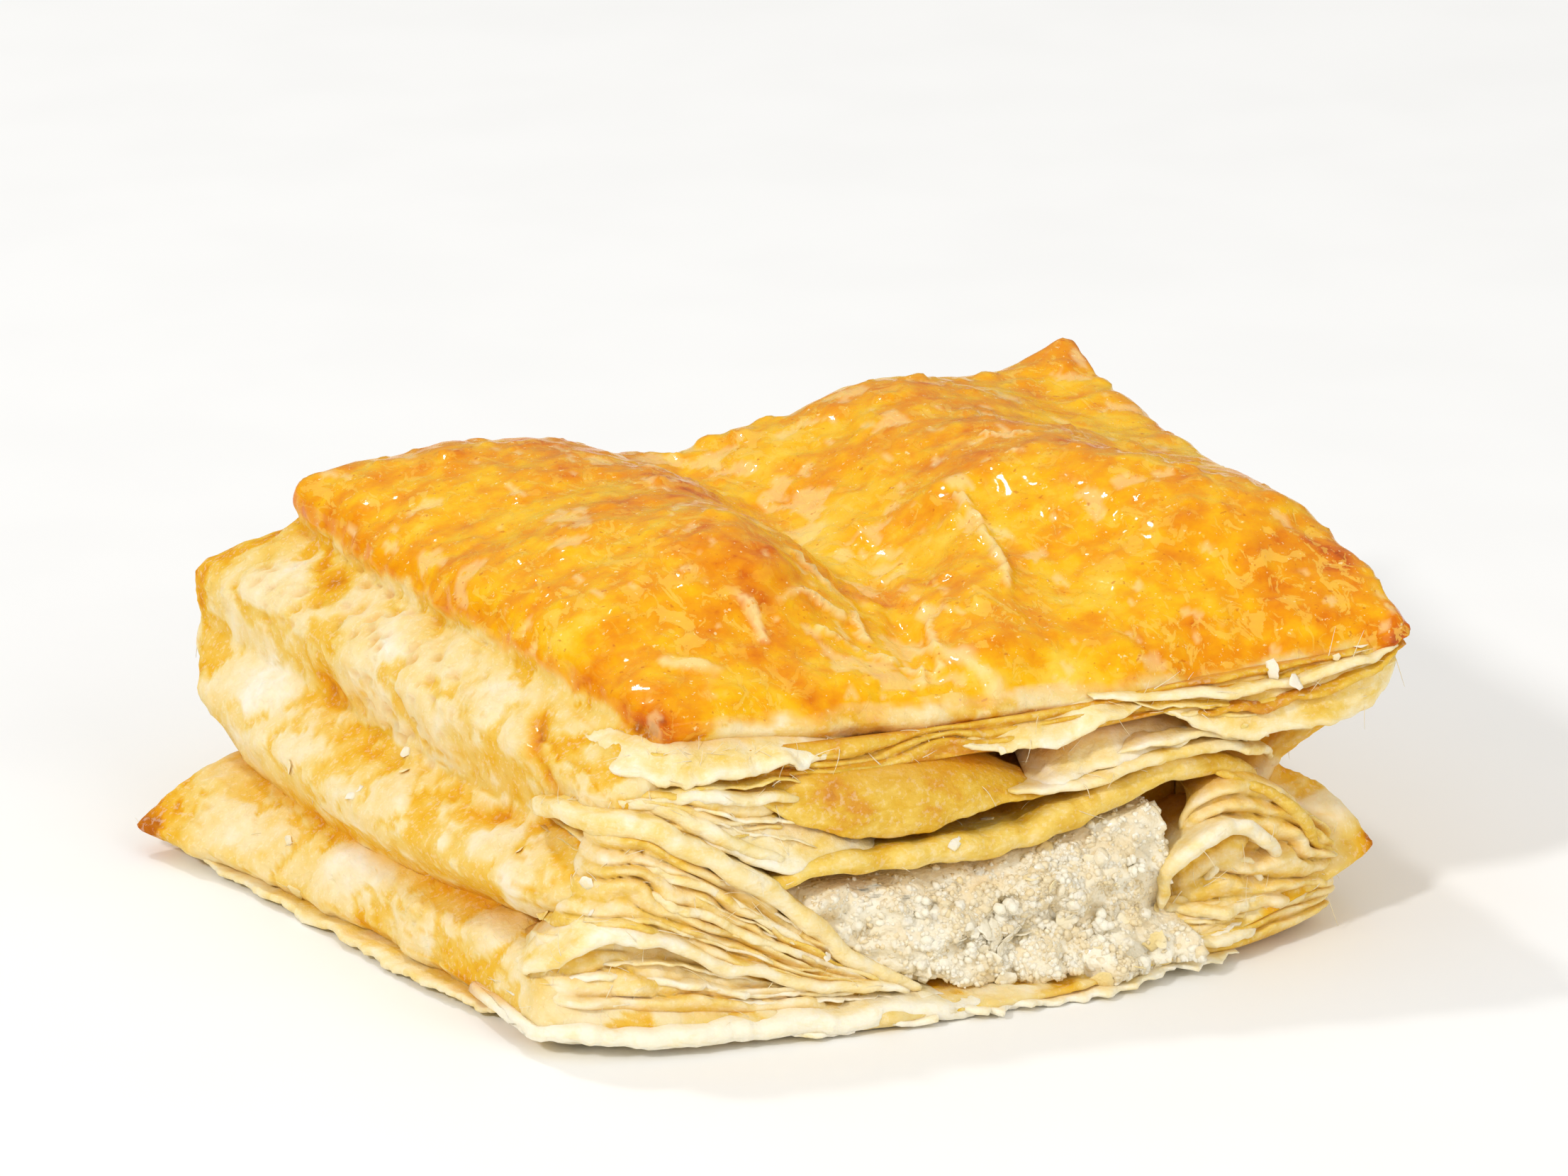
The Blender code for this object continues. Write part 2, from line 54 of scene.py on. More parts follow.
TURN = np.array(((0.80, 0.36, -0.48), (-0.60, 0.48, -0.64), (0.0, 0.80, 0.60)))


def cell_bits(cells, seed):
    """A random 32-bit number for each cell of a lattice."""
    c = cells.astype(np.uint32)
    h = (c[..., 0] * np.uint32(374761393) ^ c[..., 1] * np.uint32(668265263)
         ^ c[..., 2] * np.uint32(3266489917) ^ np.uint32(seed * 2654435761 % 2 ** 32))
    h = (h ^ (h >> 15)) * np.uint32(2246822519)
    h = (h ^ (h >> 13)) * np.uint32(3266489917)
    return h ^ (h >> 16)


def bit_fractions(bits):
    """Three numbers from 0 to 1 out of each random number."""
    return np.stack([(bits >> shift) & np.uint32(1023) for shift in (0, 10, 20)], axis=-1) / 1023.0


def field(points, size, seed=0, octaves=1):
    """Smooth noise, mostly from -1 to 1, with features of about the given size in mm."""
    total, reach = 0.0, 0.0
    for octave in range(octaves):
        p = np.asarray(points, float) @ TURN / size * 2 ** octave
        base = np.floor(p).astype(np.int64)
        t = p - base
        smooth = t * t * t * (t * (6 * t - 15) + 10)
        layer = 0.0
        for corner in np.ndindex(2, 2, 2):
            weight = np.prod(np.where(corner, smooth, 1 - smooth), axis=-1)
            slope = bit_fractions(cell_bits(base + corner, seed + octave)) * 2 - 1
            layer = layer + weight * np.sum(slope * (t - corner), axis=-1)
        total = total + layer * 1.7 * 0.5 ** octave
        reach += 0.5 ** octave
    return total / reach ** 0.5


def field_vectors(points, size, seed, octaves=1):
    """Three fields at each point, as a vector."""
    return np.stack([field(points, size, seed + k, octaves) for k in range(3)], axis=-1)


def spots(points, size, seed=0):
    """Distance to the nearest of scattered points, in units of size, and that point's own random number."""
    p = np.asarray(points, float) @ TURN / size
    base = np.floor(p).astype(np.int64)
    nearest = np.full(p.shape[:-1], np.inf)
    chance = np.zeros(p.shape[:-1])
    for offset in np.ndindex(3, 3, 3):
        cell = base + np.array(offset) - 1
        bits = cell_bits(cell, seed)
        away = np.linalg.norm(p - cell - bit_fractions(bits), axis=-1)
        closer = away < nearest
        nearest = np.where(closer, away, nearest)
        chance = np.where(closer, (bits >> 7 & np.uint32(255)) / 255.0, chance)
    return nearest, chance


def ramp(value, low, high):
    """0 below low, 1 above high, and smooth between them."""
    t = np.clip((value - low) / (high - low), 0, 1)
    return t * t * (3 - 2 * t)


def near_line(points, line, width):
    """1 on a line through the given points, and 0 further from it than about twice the width."""
    line = np.asarray(line, float)
    nearest = np.full(points.shape[:-1], np.inf)
    for a, b in zip(line, line[1:]):
        along = b - a
        t = np.clip(((points - a) @ along) / (along @ along), 0, 1)
        nearest = np.minimum(nearest, np.linalg.norm(points - a - t[..., None] * along, axis=-1))
    return np.exp(-(nearest / width) ** 2)


def in_plan(points, line, width):
    """near_line for points and lines seen from above, with no height."""
    return near_line(points[..., :2], line, width)


# Meshes.

def new_object(name, points, faces, **layers):
    """A mesh object from points in mm, faces with outward normals, and one value a point in each layer."""
    mesh = bpy.data.meshes.new(name)
    mesh.from_pydata((np.asarray(points) * MM).tolist(), [], [list(map(int, f)) for f in faces])
    work = bmesh.new()
    work.from_mesh(mesh)
    bmesh.ops.recalc_face_normals(work, faces=work.faces)
    work.to_mesh(mesh)
    work.free()
    mesh.shade_smooth()
    obj = bpy.data.objects.new(name, mesh)
    bpy.context.scene.collection.objects.link(obj)
    for layer, values in layers.items():
        set_layer(obj, layer, values)
    return obj


def set_layer(obj, name, values):
    """Stores one number a point, for the material to read."""
    layer = obj.data.attributes.get(name) or obj.data.attributes.new(name, "FLOAT", "POINT")
    layer.data.foreach_set("value", np.broadcast_to(values, len(obj.data.vertices)).astype(np.float32))


def point_arrays(obj):
    """Points in mm and their normals."""
    count = len(obj.data.vertices)
    points = np.empty(count * 3)
    normals = np.empty(count * 3)
    obj.data.vertices.foreach_get("co", points)
    obj.data.vertices.foreach_get("normal", normals)
    return points.reshape(-1, 3) / MM, normals.reshape(-1, 3)


def move_points(obj, points):
    """Gives a mesh new points, in mm."""
    obj.data.vertices.foreach_set("co", (points * MM).ravel())
    obj.data.update()


def grid_faces(rows, columns, wrapped=False):
    """Quads between neighbouring rows and columns of a grid of points."""
    r = np.arange(rows - 1)[:, None]
    c = np.arange(columns if wrapped else columns - 1)[None, :]
    d = (c + 1) % columns
    return np.stack((r * columns + c, r * columns + d, (r + 1) * columns + d, (r + 1) * columns + c),
                    axis=-1).reshape(-1, 4)


class Pile:
    """Many small closed meshes that are joined into one object."""

    def __init__(self):
        self.points, self.faces, self.layers, self.count = [], [], {}, 0

    def add(self, points, faces, **layers):
        self.points.append(np.asarray(points, float))
        self.faces += [[int(k) + self.count for k in face] for face in faces]
        for name, values in layers.items():
            self.layers.setdefault(name, []).append(np.broadcast_to(values, len(points)))
        self.count += len(points)

    def build(self, name):
        layers = {key: np.concatenate(values) for key, values in self.layers.items()}
        return new_object(name, np.vstack(self.points), self.faces, **layers)


def curve_points(around, place):
    """Points on a smooth curve. Place 0 is the second of the given points, and 1 is the third."""
    span = np.minimum(place.astype(int), len(around) - 4)
    t = (place - span)[:, None]
    before, start, end, after = (around[span + k] for k in range(4))
    return (start + 0.5 * t * (end - before) + t ** 2 * (before - 2.5 * start + 2 * end - 0.5 * after)
            + 0.5 * t ** 3 * (after - before + 3 * (start - end)))


def spline(points, count):
    """count points on a smooth curve through the given ones."""
    points = np.asarray(points, float)
    around = np.vstack((2 * points[0] - points[1], points, 2 * points[-1] - points[-2]))
    return curve_points(around, np.linspace(0, len(points) - 1, count))


def closed_spline(points, count):
    """count points on a smooth closed curve through the given ones."""
    points = np.asarray(points, float)
    around = np.vstack((points[-1:], points, points[:2]))
    return curve_points(around, np.arange(count) * len(points) / count)


# The baked body.

# A ring runs once round the pastry. corners are front left, front right, back right and back left.
# out is how far the middle of the front, right, back and left side stands out of the straight
# line between its corners, and level is its height there. soft rounds the corners, in shares of
# a side. tight is 1 where the surface turns sharply at the ring. square is how long the front
# side keeps its place towards its corners: 2 is an even bow, and more is squarer.
Ring = namedtuple("Ring", "name corners out level soft tight square")

RINGS = (
    Ring("rim",
         ((-25.4, -38, 29), (51, -43.5, 31), (53.4, 38, 38.8), (-32.4, 38, 33)),
         (-1.2, 0.4, -1.5, 1), (28.4, 34.6, 31.6, 32), 0.02, 0.1, 4),
    Ring("lip",
         ((-25.6, -38.2, 27.6), (51.4, -43.8, 29.8), (53.6, 38.2, 37), (-32.6, 38.4, 31.2)),
         (-0.6, 0.8, -1.1, 1.4), (26.6, 32.8, 30, 30.2), 0.02, 0.3, 4),
    Ring("neck",
         ((-27, -38, 26.2), (48, -42, 28.8), (51.4, 36.4, 34.6), (-33, 38.2, 29.2)),
         (-2.2, 0, -1.5, 0.5), (24.8, 30.6, 28, 28.4), 0.03, 0.3, 8),
    Ring("shoulder",
         ((-31.8, -41.2, 23.8), (50.4, -43.4, 26.2), (55, 42, 27.6), (-40.6, 46.8, 23.4)),
         (-8, 1.8, 1.6, 0.2), (21.5, 26, 24.6, 24), 0.05, 0.2, 8),
    Ring("groove",
         ((-32, -41, 19.2), (46.6, -43, 22.6), (53.4, 41, 22), (-41.4, 46.4, 18.6)),
         (-10, 0.2, 0, -0.6), (18, 20.5, 19, 17.6), 0.06, 0.5, 8),
    Ring("belly",
         ((-36.8, -43, 14), (43.2, -41, 19.6), (55.4, 41, 16), (-43.4, 43, 14)),
         (-10.6, 2.6, 2.4, 2.4), (12, 15.2, 14.6, 13), 0.10, 0, 8),
    Ring("crease",
         ((-31.8, -35, 9.3), (41, -36.4, 17.2), (47.6, 31.5, 10.4), (-41.4, 32, 8.2)),
         (-1.4, 1, 1, 4), (1.9, 9, 8.6, 8.2), 0.05, 0.8, 6),
    Ring("flap",
         ((-38.4, -41.6, 8.4), (46.4, -36, 13), (50.8, 34, 8.2), (-47.8, 30.8, 6.4)),
         (4.4, 1.4, 1.6, -1), (1.8, 7.2, 6.8, 6), 0.03, 0.2, 2.5),
    Ring("tip",
         ((-40, -43.8, 3.8), (50.2, -38.4, 7.4), (54, 36.6, 4.6), (-53.3, 29.2, 2.8)),
         (8.6, 0.6, 1.8, -3.6), (1.2, 3.8, 3.4, 2.6), 0.015, 0.7, 2),
    Ring("under",
         ((-37.8, -42.6, 1.2), (44.8, -36, 3), (50.4, 33.6, 1.5), (-50.4, 27.8, 1.2)),
         (8.6, 1.2, 1.2, -3.2), (0.3, 1, 0.9, 0.8), 0.03, 0.2, 2),
    Ring("sole",
         ((-33, -38, 0), (39, -34, 0), (44, 28, 0), (-42, 21, 0)),
         (7, 1, 1, -2), (0, 0, 0, 0), 0.06, 0, 2),
)
# The shares of the front side, from its left corner, between which it is torn.
TORN_START, TORN_END = 0.075, 0.97
OUTWARD = np.array(((0, -1, 0), (1, 0, 0), (0, 1, 0), (-1, 0, 0)), float)
RING_NUMBER = {ring.name: k for k, ring in enumerate(RINGS)}

# Columns on each side, rows between one ring and the next, and the coarser grid underneath.
SIDE_COLUMNS = 160
ROWS = (5, 5, 12, 12, 13, 13, 12, 11, 8, 5)
UNDER_SHARE = 4

# The glazed top: ridges and valleys as lines in plan, with their height and half width.
Line = namedtuple("Line", "points height width")
TOP_LINES = (
    Line(((-18, 31), (-14, 8), (-15, -14)), 6, 12.5),
    Line(((-6, 29), (-3, 10), (-3.5, -9), (-8, -20)), 3.4, 6.5),
    Line(((28, 29), (31, 8), (35, -8), (41, -20)), 8.6, 14),
    Line(((7, 34), (8, 18), (7, -4), (3, -36)), -1.2, 4.5),
    Line(((11, -4), (7, -20), (2.5, -37)), -0.8, 1.6),
    Line(((20, -4), (17, -20), (12, -34)), 2.2, 3.6),
)
TOP_EDGE_POWER = 0.3
# The crust rises this much just inside the rim, over this distance, in mm.
PUFF_HEIGHT = 1.5
PUFF_REACH = 2.2
TOP_SPAN = 80.0


def ring_at(ring, place):
    """Points on a ring. place runs from 0 to 4, one unit a side."""
    corners = np.array(ring.corners, float)
    side = np.floor(place).astype(int) % 4
    t = place - np.floor(place)
    line = corners[side] * (1 - t)[:, None] + corners[(side + 1) % 4] * t[:, None]
    square = np.array((ring.square, 2, 2, 2))[side]
    skin = np.where(square > 3, TORN_START, 0.0)
    bow = 1 - np.abs(2 * np.clip((t - skin) / (1 - skin), 0, 1) - 1) ** square
    line += OUTWARD[side] * (np.array(ring.out)[side] * bow)[:, None]
    line[:, 2] = line[:, 2] * (1 - bow) + np.array(ring.level)[side] * bow
    return line


def soft_ring(ring, place):
    """The ring with its corners rounded, by averaging along it."""
    shifts = np.linspace(-1.0, 1.0, 7) * ring.soft
    return np.mean([ring_at(ring, (place + shift) % 4) for shift in shifts], axis=0)


def wall_at(place, spans):
    """Rows of points on the walls, one for each span from 0, the rim, to 10, the sole."""
    rings = np.array([soft_ring(ring, place) for ring in RINGS])
    slack = np.array([1 - ring.tight for ring in RINGS])[:, None, None]
    slopes = np.gradient(rings, axis=0) * slack
    rows = []
    for span in spans:
        k = min(int(span), len(rings) - 2)
        t = span - k
        rows.append((2 * t ** 3 - 3 * t ** 2 + 1) * rings[k]
                    + (t ** 3 - 2 * t ** 2 + t) * slopes[k]
                    + (3 * t ** 2 - 2 * t ** 3) * rings[k + 1]
                    + (t ** 3 - t ** 2) * slopes[k + 1])
    return np.array(rows)


def patch(row):
    """A square grid of points that spans one closed row, which keeps the row as its border."""
    n = len(row) // 4
    front, right = row[:n + 1], row[n:2 * n + 1]
    back = row[2 * n:3 * n + 1][::-1]
    left = np.vstack((row[3 * n:], row[:1]))[::-1]
    u = np.linspace(0, 1, n + 1)[None, :, None]
    v = np.linspace(0, 1, n + 1)[:, None, None]
    across = front[None] * (1 - v) + back[None] * v
    along = left[:, None] * (1 - u) + right[:, None] * u
    flat = ((1 - u) * (1 - v) * front[0] + u * (1 - v) * front[-1]
            + (1 - u) * v * back[0] + u * v * back[-1])
    return across + along - flat


def crust(row):
    """The glazed top: a patch over the rim, raised into its two lobes with the dip between."""
    grid = patch(row)
    u = np.linspace(0, 1, len(grid))
    edge = np.clip(16 * np.outer(u * (1 - u), u * (1 - u)), 0, 1) ** TOP_EDGE_POWER
    for line in TOP_LINES:
        grid[..., 2] += line.height * in_plan(grid, line.points, line.width) * edge
    inside = np.minimum(u, 1 - u) * TOP_SPAN
    inside = np.minimum(inside[:, None], inside[None, :])
    grid[..., 2] += PUFF_HEIGHT * (1 - np.exp(-(inside / PUFF_REACH) ** 1.3))
    return grid


def patch_border(n):
    """Indices of a patch's border cells, in the order of the ring round it."""
    front = [(0, k) for k in range(n)]
    right = [(k, n) for k in range(n)]
    back = [(n, n - k) for k in range(n)]
    left = [(n - k, 0) for k in range(n)]
    return front + right + back + left


def join_patch(points, faces, grid, ring_ids):
    """Adds a patch to a mesh, with the given ring of points as its border."""
    n = len(grid) - 1
    ids = -np.ones((n + 1, n + 1), int)
    for cell, ring_id in zip(patch_border(n), ring_ids):
        ids[cell] = ring_id
    inner = grid[1:-1, 1:-1].reshape(-1, 3)
    ids[1:-1, 1:-1] = len(points) + np.arange(len(inner)).reshape(n - 1, n - 1)
    quads = np.stack((ids[:-1, :-1], ids[:-1, 1:], ids[1:, 1:], ids[1:, :-1]), axis=-1).reshape(-1, 4)
    return np.vstack((points, inner)), faces + quads.tolist()


def make_body():
    """The smooth body as one closed mesh, with each point's span: under 0 on the top."""
    place = np.arange(4 * SIDE_COLUMNS) / SIDE_COLUMNS
    spans = [k + r / count for k, count in enumerate(ROWS) for r in range(count)] + [len(ROWS)]
    rows = wall_at(place, spans)
    columns = len(place)
    points = rows.reshape(-1, 3)
    span = np.repeat(spans, columns)
    side = np.tile(place, len(spans))
    faces = grid_faces(len(rows), columns, wrapped=True).tolist()

    points, faces = join_patch(points, faces, crust(rows[0]), range(columns))
    added = len(points) - len(span)
    span = np.concatenate((span, np.full(added, -1.0)))
    side = np.concatenate((side, np.full(added, -1.0)))

    last = (len(rows) - 1) * columns
    coarse = np.arange(last, last + columns, UNDER_SHARE)
    inset = rows[-1][::UNDER_SHARE] * (0.97, 0.97, 1.0)
    first = len(points)
    points = np.vstack((points, inset))
    for k in range(len(coarse)):
        following = (k + 1) % len(coarse)
        fine = [last + (coarse[k] - last + j) % columns for j in range(UNDER_SHARE + 1)]
        faces.append(fine + [first + following, first + k])
    points, faces = join_patch(points, faces, patch(inset), range(first, first + len(coarse)))
    added = len(points) - len(span)
    span = np.concatenate((span, np.full(added, float(len(ROWS)))))
    side = np.concatenate((side, np.full(added, -1.0)))
    return new_object("pastry_body", points, faces), span, side


# Furrows in the walls, as lines in space, with their depth and half width.
FURROWS = (
    Line(((-33, 38, 24.4), (-36.4, 22, 20), (-38.4, 7, 18.2), (-38.4, -6.7, 18),
          (-36.8, -18, 17.6), (-33, -26.2, 16.2), (-31, -36, 20)), 1, 1.3),
    Line(((-32.6, -2.9, 31), (-34.6, -10.6, 27.5), (-37, -14.8, 23), (-38.2, -14.3, 18.9)), 0.8, 1.3),
    Line(((-39.6, -19.5, 18.4), (-41.8, -19.8, 16.4), (-42.4, -19, 14)), 0.7, 0.8),
    Line(((-31, -22, 27.4), (-33, -27, 24), (-33.6, -33, 22)), 0.7, 1.2),
    Line(((53.6, 10, 33), (54.6, 14, 28), (54, 16, 21)), 0.8, 1.3),
    Line(((50.6, -22, 31), (51.4, -18, 26), (48.6, -16, 21)), 0.7, 1.2),
    Line(((10, 38.4, 30), (12, 43, 25), (9, 42, 19)), 0.9, 1.4),
    Line(((-18, 39.6, 29), (-16, 45, 24), (-17, 44, 18.6)), 0.7, 1.1),
)
# Wrinkles of the glazed top, as lines in space, with their height and half width.
WRINKLES = (
    Line(((12.6, 8, 34.4), (11.4, -6, 33.6), (7.4, -20, 32.2), (2.6, -37, 29.4)), 1.1, 0.5),
    Line(((15.4, 4, 35.4), (14.4, -7, 34.8), (10, -20, 32.8), (5.4, -35, 30)), 0.6, 0.45),
    Line(((20.4, -6, 37.2), (19.4, -16, 36), (17, -25, 33.8), (14.6, -31, 31.6)), 1.1, 0.55),
    Line(((22.6, -18, 36), (21, -24, 34.8), (21.6, -28, 33.6)), 0.6, 0.45),
    Line(((23.4, -6, 38), (23, -10, 37.6), (21.4, -16, 36.2)), 0.6, 0.45),
    Line(((-7, -24, 34.8), (-3.6, -21.6, 35), (-0.4, -24.4, 33)), 0.8, 0.7),
    Line(((-1.4, -14, 35.8), (1.6, -22, 33), (0.6, -28, 31.4)), 0.8, 0.5),
    Line(((-3.6, -27, 33.2), (-1, -31, 31.4), (3, -33, 30.6)), 0.7, 0.5),
    Line(((29, 6, 39.8), (32.6, 2, 39.8), (37, 3.4, 39.4)), 0.6, 0.45),
    Line(((28, -2, 39.4), (31, -4.4, 39.2), (35.4, -3.4, 39.2)), 0.4, 0.4),
    Line(((2, -34, 29.8), (6, -35.6, 29.2), (10, -35, 29.4)), 0.7, 0.6),
    Line(((-14, -18, 37.6), (-10, -24, 35.6), (-10.6, -29, 33.2)), 0.5, 0.6),
    Line(((38, -14, 39.4), (41, -19, 38.4), (40.6, -24, 37)), 0.4, 0.6),
    Line(((-4, 14, 38.6), (1, 8, 36.2), (4, -2, 34.2)), 0.6, 0.7),
    Line(((20, 20, 37.6), (16, 10, 36.4), (16.4, 2, 35.6)), 0.5, 0.6),
    Line(((-21, -30, 32), (-17.4, -32.6, 31), (-19.4, -35.6, 30)), 0.7, 0.9),
    Line(((4.6, -28, 31.4), (7.4, -34, 30), (8.6, -39, 28.8)), 0.6, 1.2),
)
# Where the walls are pitted with small holes, as lines in space of no height.
PITTED = (
    Line(((-33, 34, 26), (-34, 14, 26.5), (-35, -4, 23)), 0, 7.0),
    Line(((54, 4, 28), (54, 26, 27)), 0, 5.0),
    Line(((30, 43, 26), (12, 44, 25)), 0, 5.0),
)
# Where the corners and tips are baked darkest: place, size and strength.
CORNER_TOAST = (
    ((-25, -37, 28.5), 5.0, 0.50), ((51, -43, 30), 6.5, 0.42), ((53, 38, 38), 8.0, 0.20),
    ((-32, 37, 32), 6.0, 0.22), ((-40, 45.6, 23.4), 4.0, 0.55), ((-53.3, 29.2, 2.8), 5.5, 0.75),
    ((50.2, -38.4, 7.4), 2.4, 0.5), ((54, 36.6, 4.6), 5.0, 0.6), ((55, 42, 27), 5.0, 0.5),
    ((50, -31, 35), 3.0, 0.45),
)


def top_relief(p):
    """How far the glazed top stands out, and how peeled and how toasted it is there."""
    stretched = p * (1.0, 0.35, 1.0)
    valley = in_plan(p, ((9, 30), (9, 10), (8, -8), (3, -37)), 7.5)
    folds = np.abs(field(stretched, 3.4, 2, 2))
    wrinkle = (0.5 - folds) * (0.25 + 0.75 * valley)
    blister_gap, blister_chance = spots(p, 4.2, 3)
    blisters = ramp(0.40 - blister_gap, 0, 0.22) * (blister_chance > 0.6) * 0.34
    grain_gap, grain_chance = spots(p, 1.9, 4)
    grain = ramp(0.42 - grain_gap, 0, 0.25) * (grain_chance > 0.62) * 0.2
    relief = field(p, 15.0, 1, 2) * 0.85 + field(p, 6.0, 11, 2) * 0.36 + field(p, 2.6, 5, 2) * 0.10
    relief = relief + wrinkle * 0.8 + blisters + grain
    crest = 0.0
    for line in WRINKLES:
        mark = near_line(p + field(p, 3.0, 6)[:, None] * 0.7, line.points, line.width)
        beside = near_line(p, line.points, line.width * 3.0)
        relief = relief + mark * line.height - beside * line.height * 0.3
        crest = np.maximum(crest, ramp(mark, 0.15, 0.7) * ramp(field(p, 2.6, 12) + 0.75, 0.0, 0.6))
    peel_field = field(p * (1, 1, 0.6), 5.2, 7, 3) + 0.3 * valley
    peel = ramp(peel_field, 0.46, 0.52)
    fleck = ramp(field(stretched, 1.9, 8, 2), 0.52, 0.62)
    relief = relief - ramp(peel_field, 0.46, 0.50) * 0.12 - fleck * 0.08
    peel = np.maximum(0.6 * peel, np.maximum(crest * 1.2, fleck * 0.7))
    ridge = in_plan(p, ((-6, 27), (-3, 10), (-3, -9), (-9, -24)), 6.0)
    right_ridge = in_plan(p, ((30, 24), (33, 6), (41, -12), (46, -30)), 6.0)
    toast = 0.38 + 0.26 * field(p, 11.0, 9, 2) + 0.24 * field(p, 2.6, 10, 2)
    toast = toast + 0.19 * ridge + 0.16 * right_ridge - 0.14 * valley
    return relief, peel, toast


def wall_relief(p, span):
    """How far the walls stand out, how toasted they are, with painted shade added in the crease and under the
    lip, how much painted shade lies in their hollows, and where syrup runs.
    """
    bent = p * (0.75, 0.75, 1.25) + 1.2 * field_vectors(p, 4.0, 33)
    gap, chance = spots(bent, 6.0, 22)
    blister = ramp(0.60 - gap, 0.0, 0.12) * (chance > 0.3)
    dome = ramp(0.60 - gap, 0.0, 0.5) * (chance > 0.3)
    small_gap, small_chance = spots(bent, 2.3, 23)
    small = ramp(0.5 - small_gap, 0.0, 0.14) * (small_chance > 0.55)
    skin = ramp(field(bent, 5.0, 36, 3), 0.02, 0.12)
    pale = np.maximum(np.maximum(blister, 0.8 * skin), 0.7 * small)

    flaky = ramp(field(p, 12.0, 21) + 0.15, 0.0, 0.7)
    height = p[:, 2] * 0.72 + field(p, 13.0, 24, 2) * 1.8 + field(p, 2.4, 25) * 0.12
    step = height - np.floor(height)
    leaf = np.where(step < 0.86, step / 0.86, (1 - step) / 0.14)
    relief = dome * 0.45 + blister * 0.12 + small * 0.12 + skin * 0.14
    relief = relief + leaf * 0.24 * flaky + field(p, 2.6, 26, 2) * 0.1
    seam = ramp(step, 0.80, 0.97) * flaky

    pit_area = np.max([near_line(p, line.points, line.width) for line in PITTED], axis=0)
    pit_gap, pit_chance = spots(p * (1, 0.8, 1.2), 1.9, 27)
    pit = ramp(0.46 - pit_gap, 0.0, 0.3) * (pit_chance > 0.3) * pit_area
    crumb = field(p, 1.6, 28, 2) * 0.3 * pit_area
    relief = relief - pit * 0.9 + crumb

    groove = 0.0
    for line in FURROWS:
        wander = p + field(p, 4.0, 29)[:, None] * 0.8
        mark = near_line(wander, line.points, line.width)
        relief = relief - mark * line.height
        groove = np.maximum(groove, mark)
    crease = np.exp(-((span - RING_NUMBER["crease"]) / 0.45) ** 2)
    under_lip = np.exp(-((span - 1.9) / 0.5) ** 2)
    tips = np.exp(-((span - RING_NUMBER["tip"]) / 0.35) ** 2)
    toast = 0.55 + 0.16 * field(p, 9.0, 30, 2) + 0.12 * field(p, 2.2, 31, 2)
    toast = toast - 0.42 * pale * (0.75 + 0.4 * field(p, 7.0, 37)) + 0.16 * seam
    # Painted shade: the crease and the band under the lip are darkened here, along with the toasted grooves,
    # tips and pits.
    toast = toast + 0.42 * groove + 0.22 * crease + 0.12 * under_lip + 0.10 * tips + 0.04 * pit_area
    # Painted shade in the hollows: pits, grooves, seams and the crease get a value that the material turns
    # ochre.
    deep = np.maximum(np.maximum(pit, 0.5 * groove), np.maximum(0.7 * crease, 0.4 * seam))
    syrup = np.clip(1.2 * groove - 0.3, 0, 1) * ramp(field(p, 3.0, 38, 2), -0.5, 0.2)
    return relief, toast, deep, syrup


def corner_toast(p):
    """How much darker the corners and tips are baked."""
    return sum(strength * np.exp(-(np.linalg.norm(p - corner, axis=-1) / size) ** 2)
               for corner, size, strength in CORNER_TOAST)


def carve_body(body, span, side):
    """Gives the body its fine relief and the values that its material reads."""
    p, normals = point_arrays(body)
    top = span < 0
    front = (side >= 0) & (side < 1)
    glaze_end = np.where(front, 1.3 - 0.9 * ramp(np.minimum(side, 1 - side), 0.01, 0.10), 1.3)
    glaze = np.where(top, 1.0, ramp(glaze_end + 0.7 * field(p, 3.4, 41, 3) - span, -0.3, 0.6))
    # The torn front wall lies behind the leaves and gets painted shade: darker and ochre.
    torn = np.where(front, ramp(np.minimum(side - TORN_START, TORN_END - side), 0.0, 0.05), 0.0)
    torn = torn * ramp(span, 1.6, 2.4) * (1 - ramp(span, 7.0, 7.6))

    rise, peel, top_toast = top_relief(p)
    swell, wall_toast, deep, syrup = wall_relief(p, span)
    fade = np.where(top, 1.0, ramp(2.0 - span, 0.2, 1.6))
    still = 1 - ramp(span, len(ROWS) - 1.2, len(ROWS) - 0.4)
    rim = np.exp(-((np.where(top, 0.0, span) - 0.5) / 1.3) ** 2) * ~top
    wander = 0.55 * field(p, 8.0, 42) + 0.3 * field(p, 2.8, 43, 2)
    relief = (rise * fade + swell * (1 - fade) + wander * rim) * still
    p = p + normals * relief[:, None]
    p[:, 2] = np.maximum(p[:, 2], 0.0)
    move_points(body, p)

    toast = wall_toast * (1 - glaze) + top_toast * glaze + corner_toast(p)
    toast = toast + np.where(top | front, 0.0, 0.12 * np.exp(-((span - 0.8) / 0.8) ** 2))
    set_layer(body, "glaze", np.maximum(glaze, 0.7 * syrup * ~top))
    # Painted shade on the torn front behind the leaves: darker toast, and ochre shade below.
    set_layer(body, "toast", np.clip(toast + 0.25 * torn, 0, 1))
    set_layer(body, "peel", np.clip(peel * glaze, 0, 1))
    set_layer(body, "deep", np.clip(np.maximum(deep * (1 - glaze), 0.9 * torn), 0, 1))


# The torn side: leaves of dough.

# A leaf: its free lip and its root in the body, its thickness, how far its middle stands out of
# the straight way between them along X, Y and Z, how ragged and how wavy its lip is in mm, and how
# toasted it is.
Leaf = namedtuple("Leaf", "name lip root thick bulge rag wave toast")


def ribbon(name, lip, thick, root_y=-29.0, root_rise=0.0, rag=0.3, wave=0.3, toast=0.3):
    """A leaf that runs level from its lip straight back into the body."""
    root = [(x, root_y, z + root_rise) for x, _, z in lip]
    return Leaf(name, lip, root, thick, (0, 0, 0), rag, wave, toast)


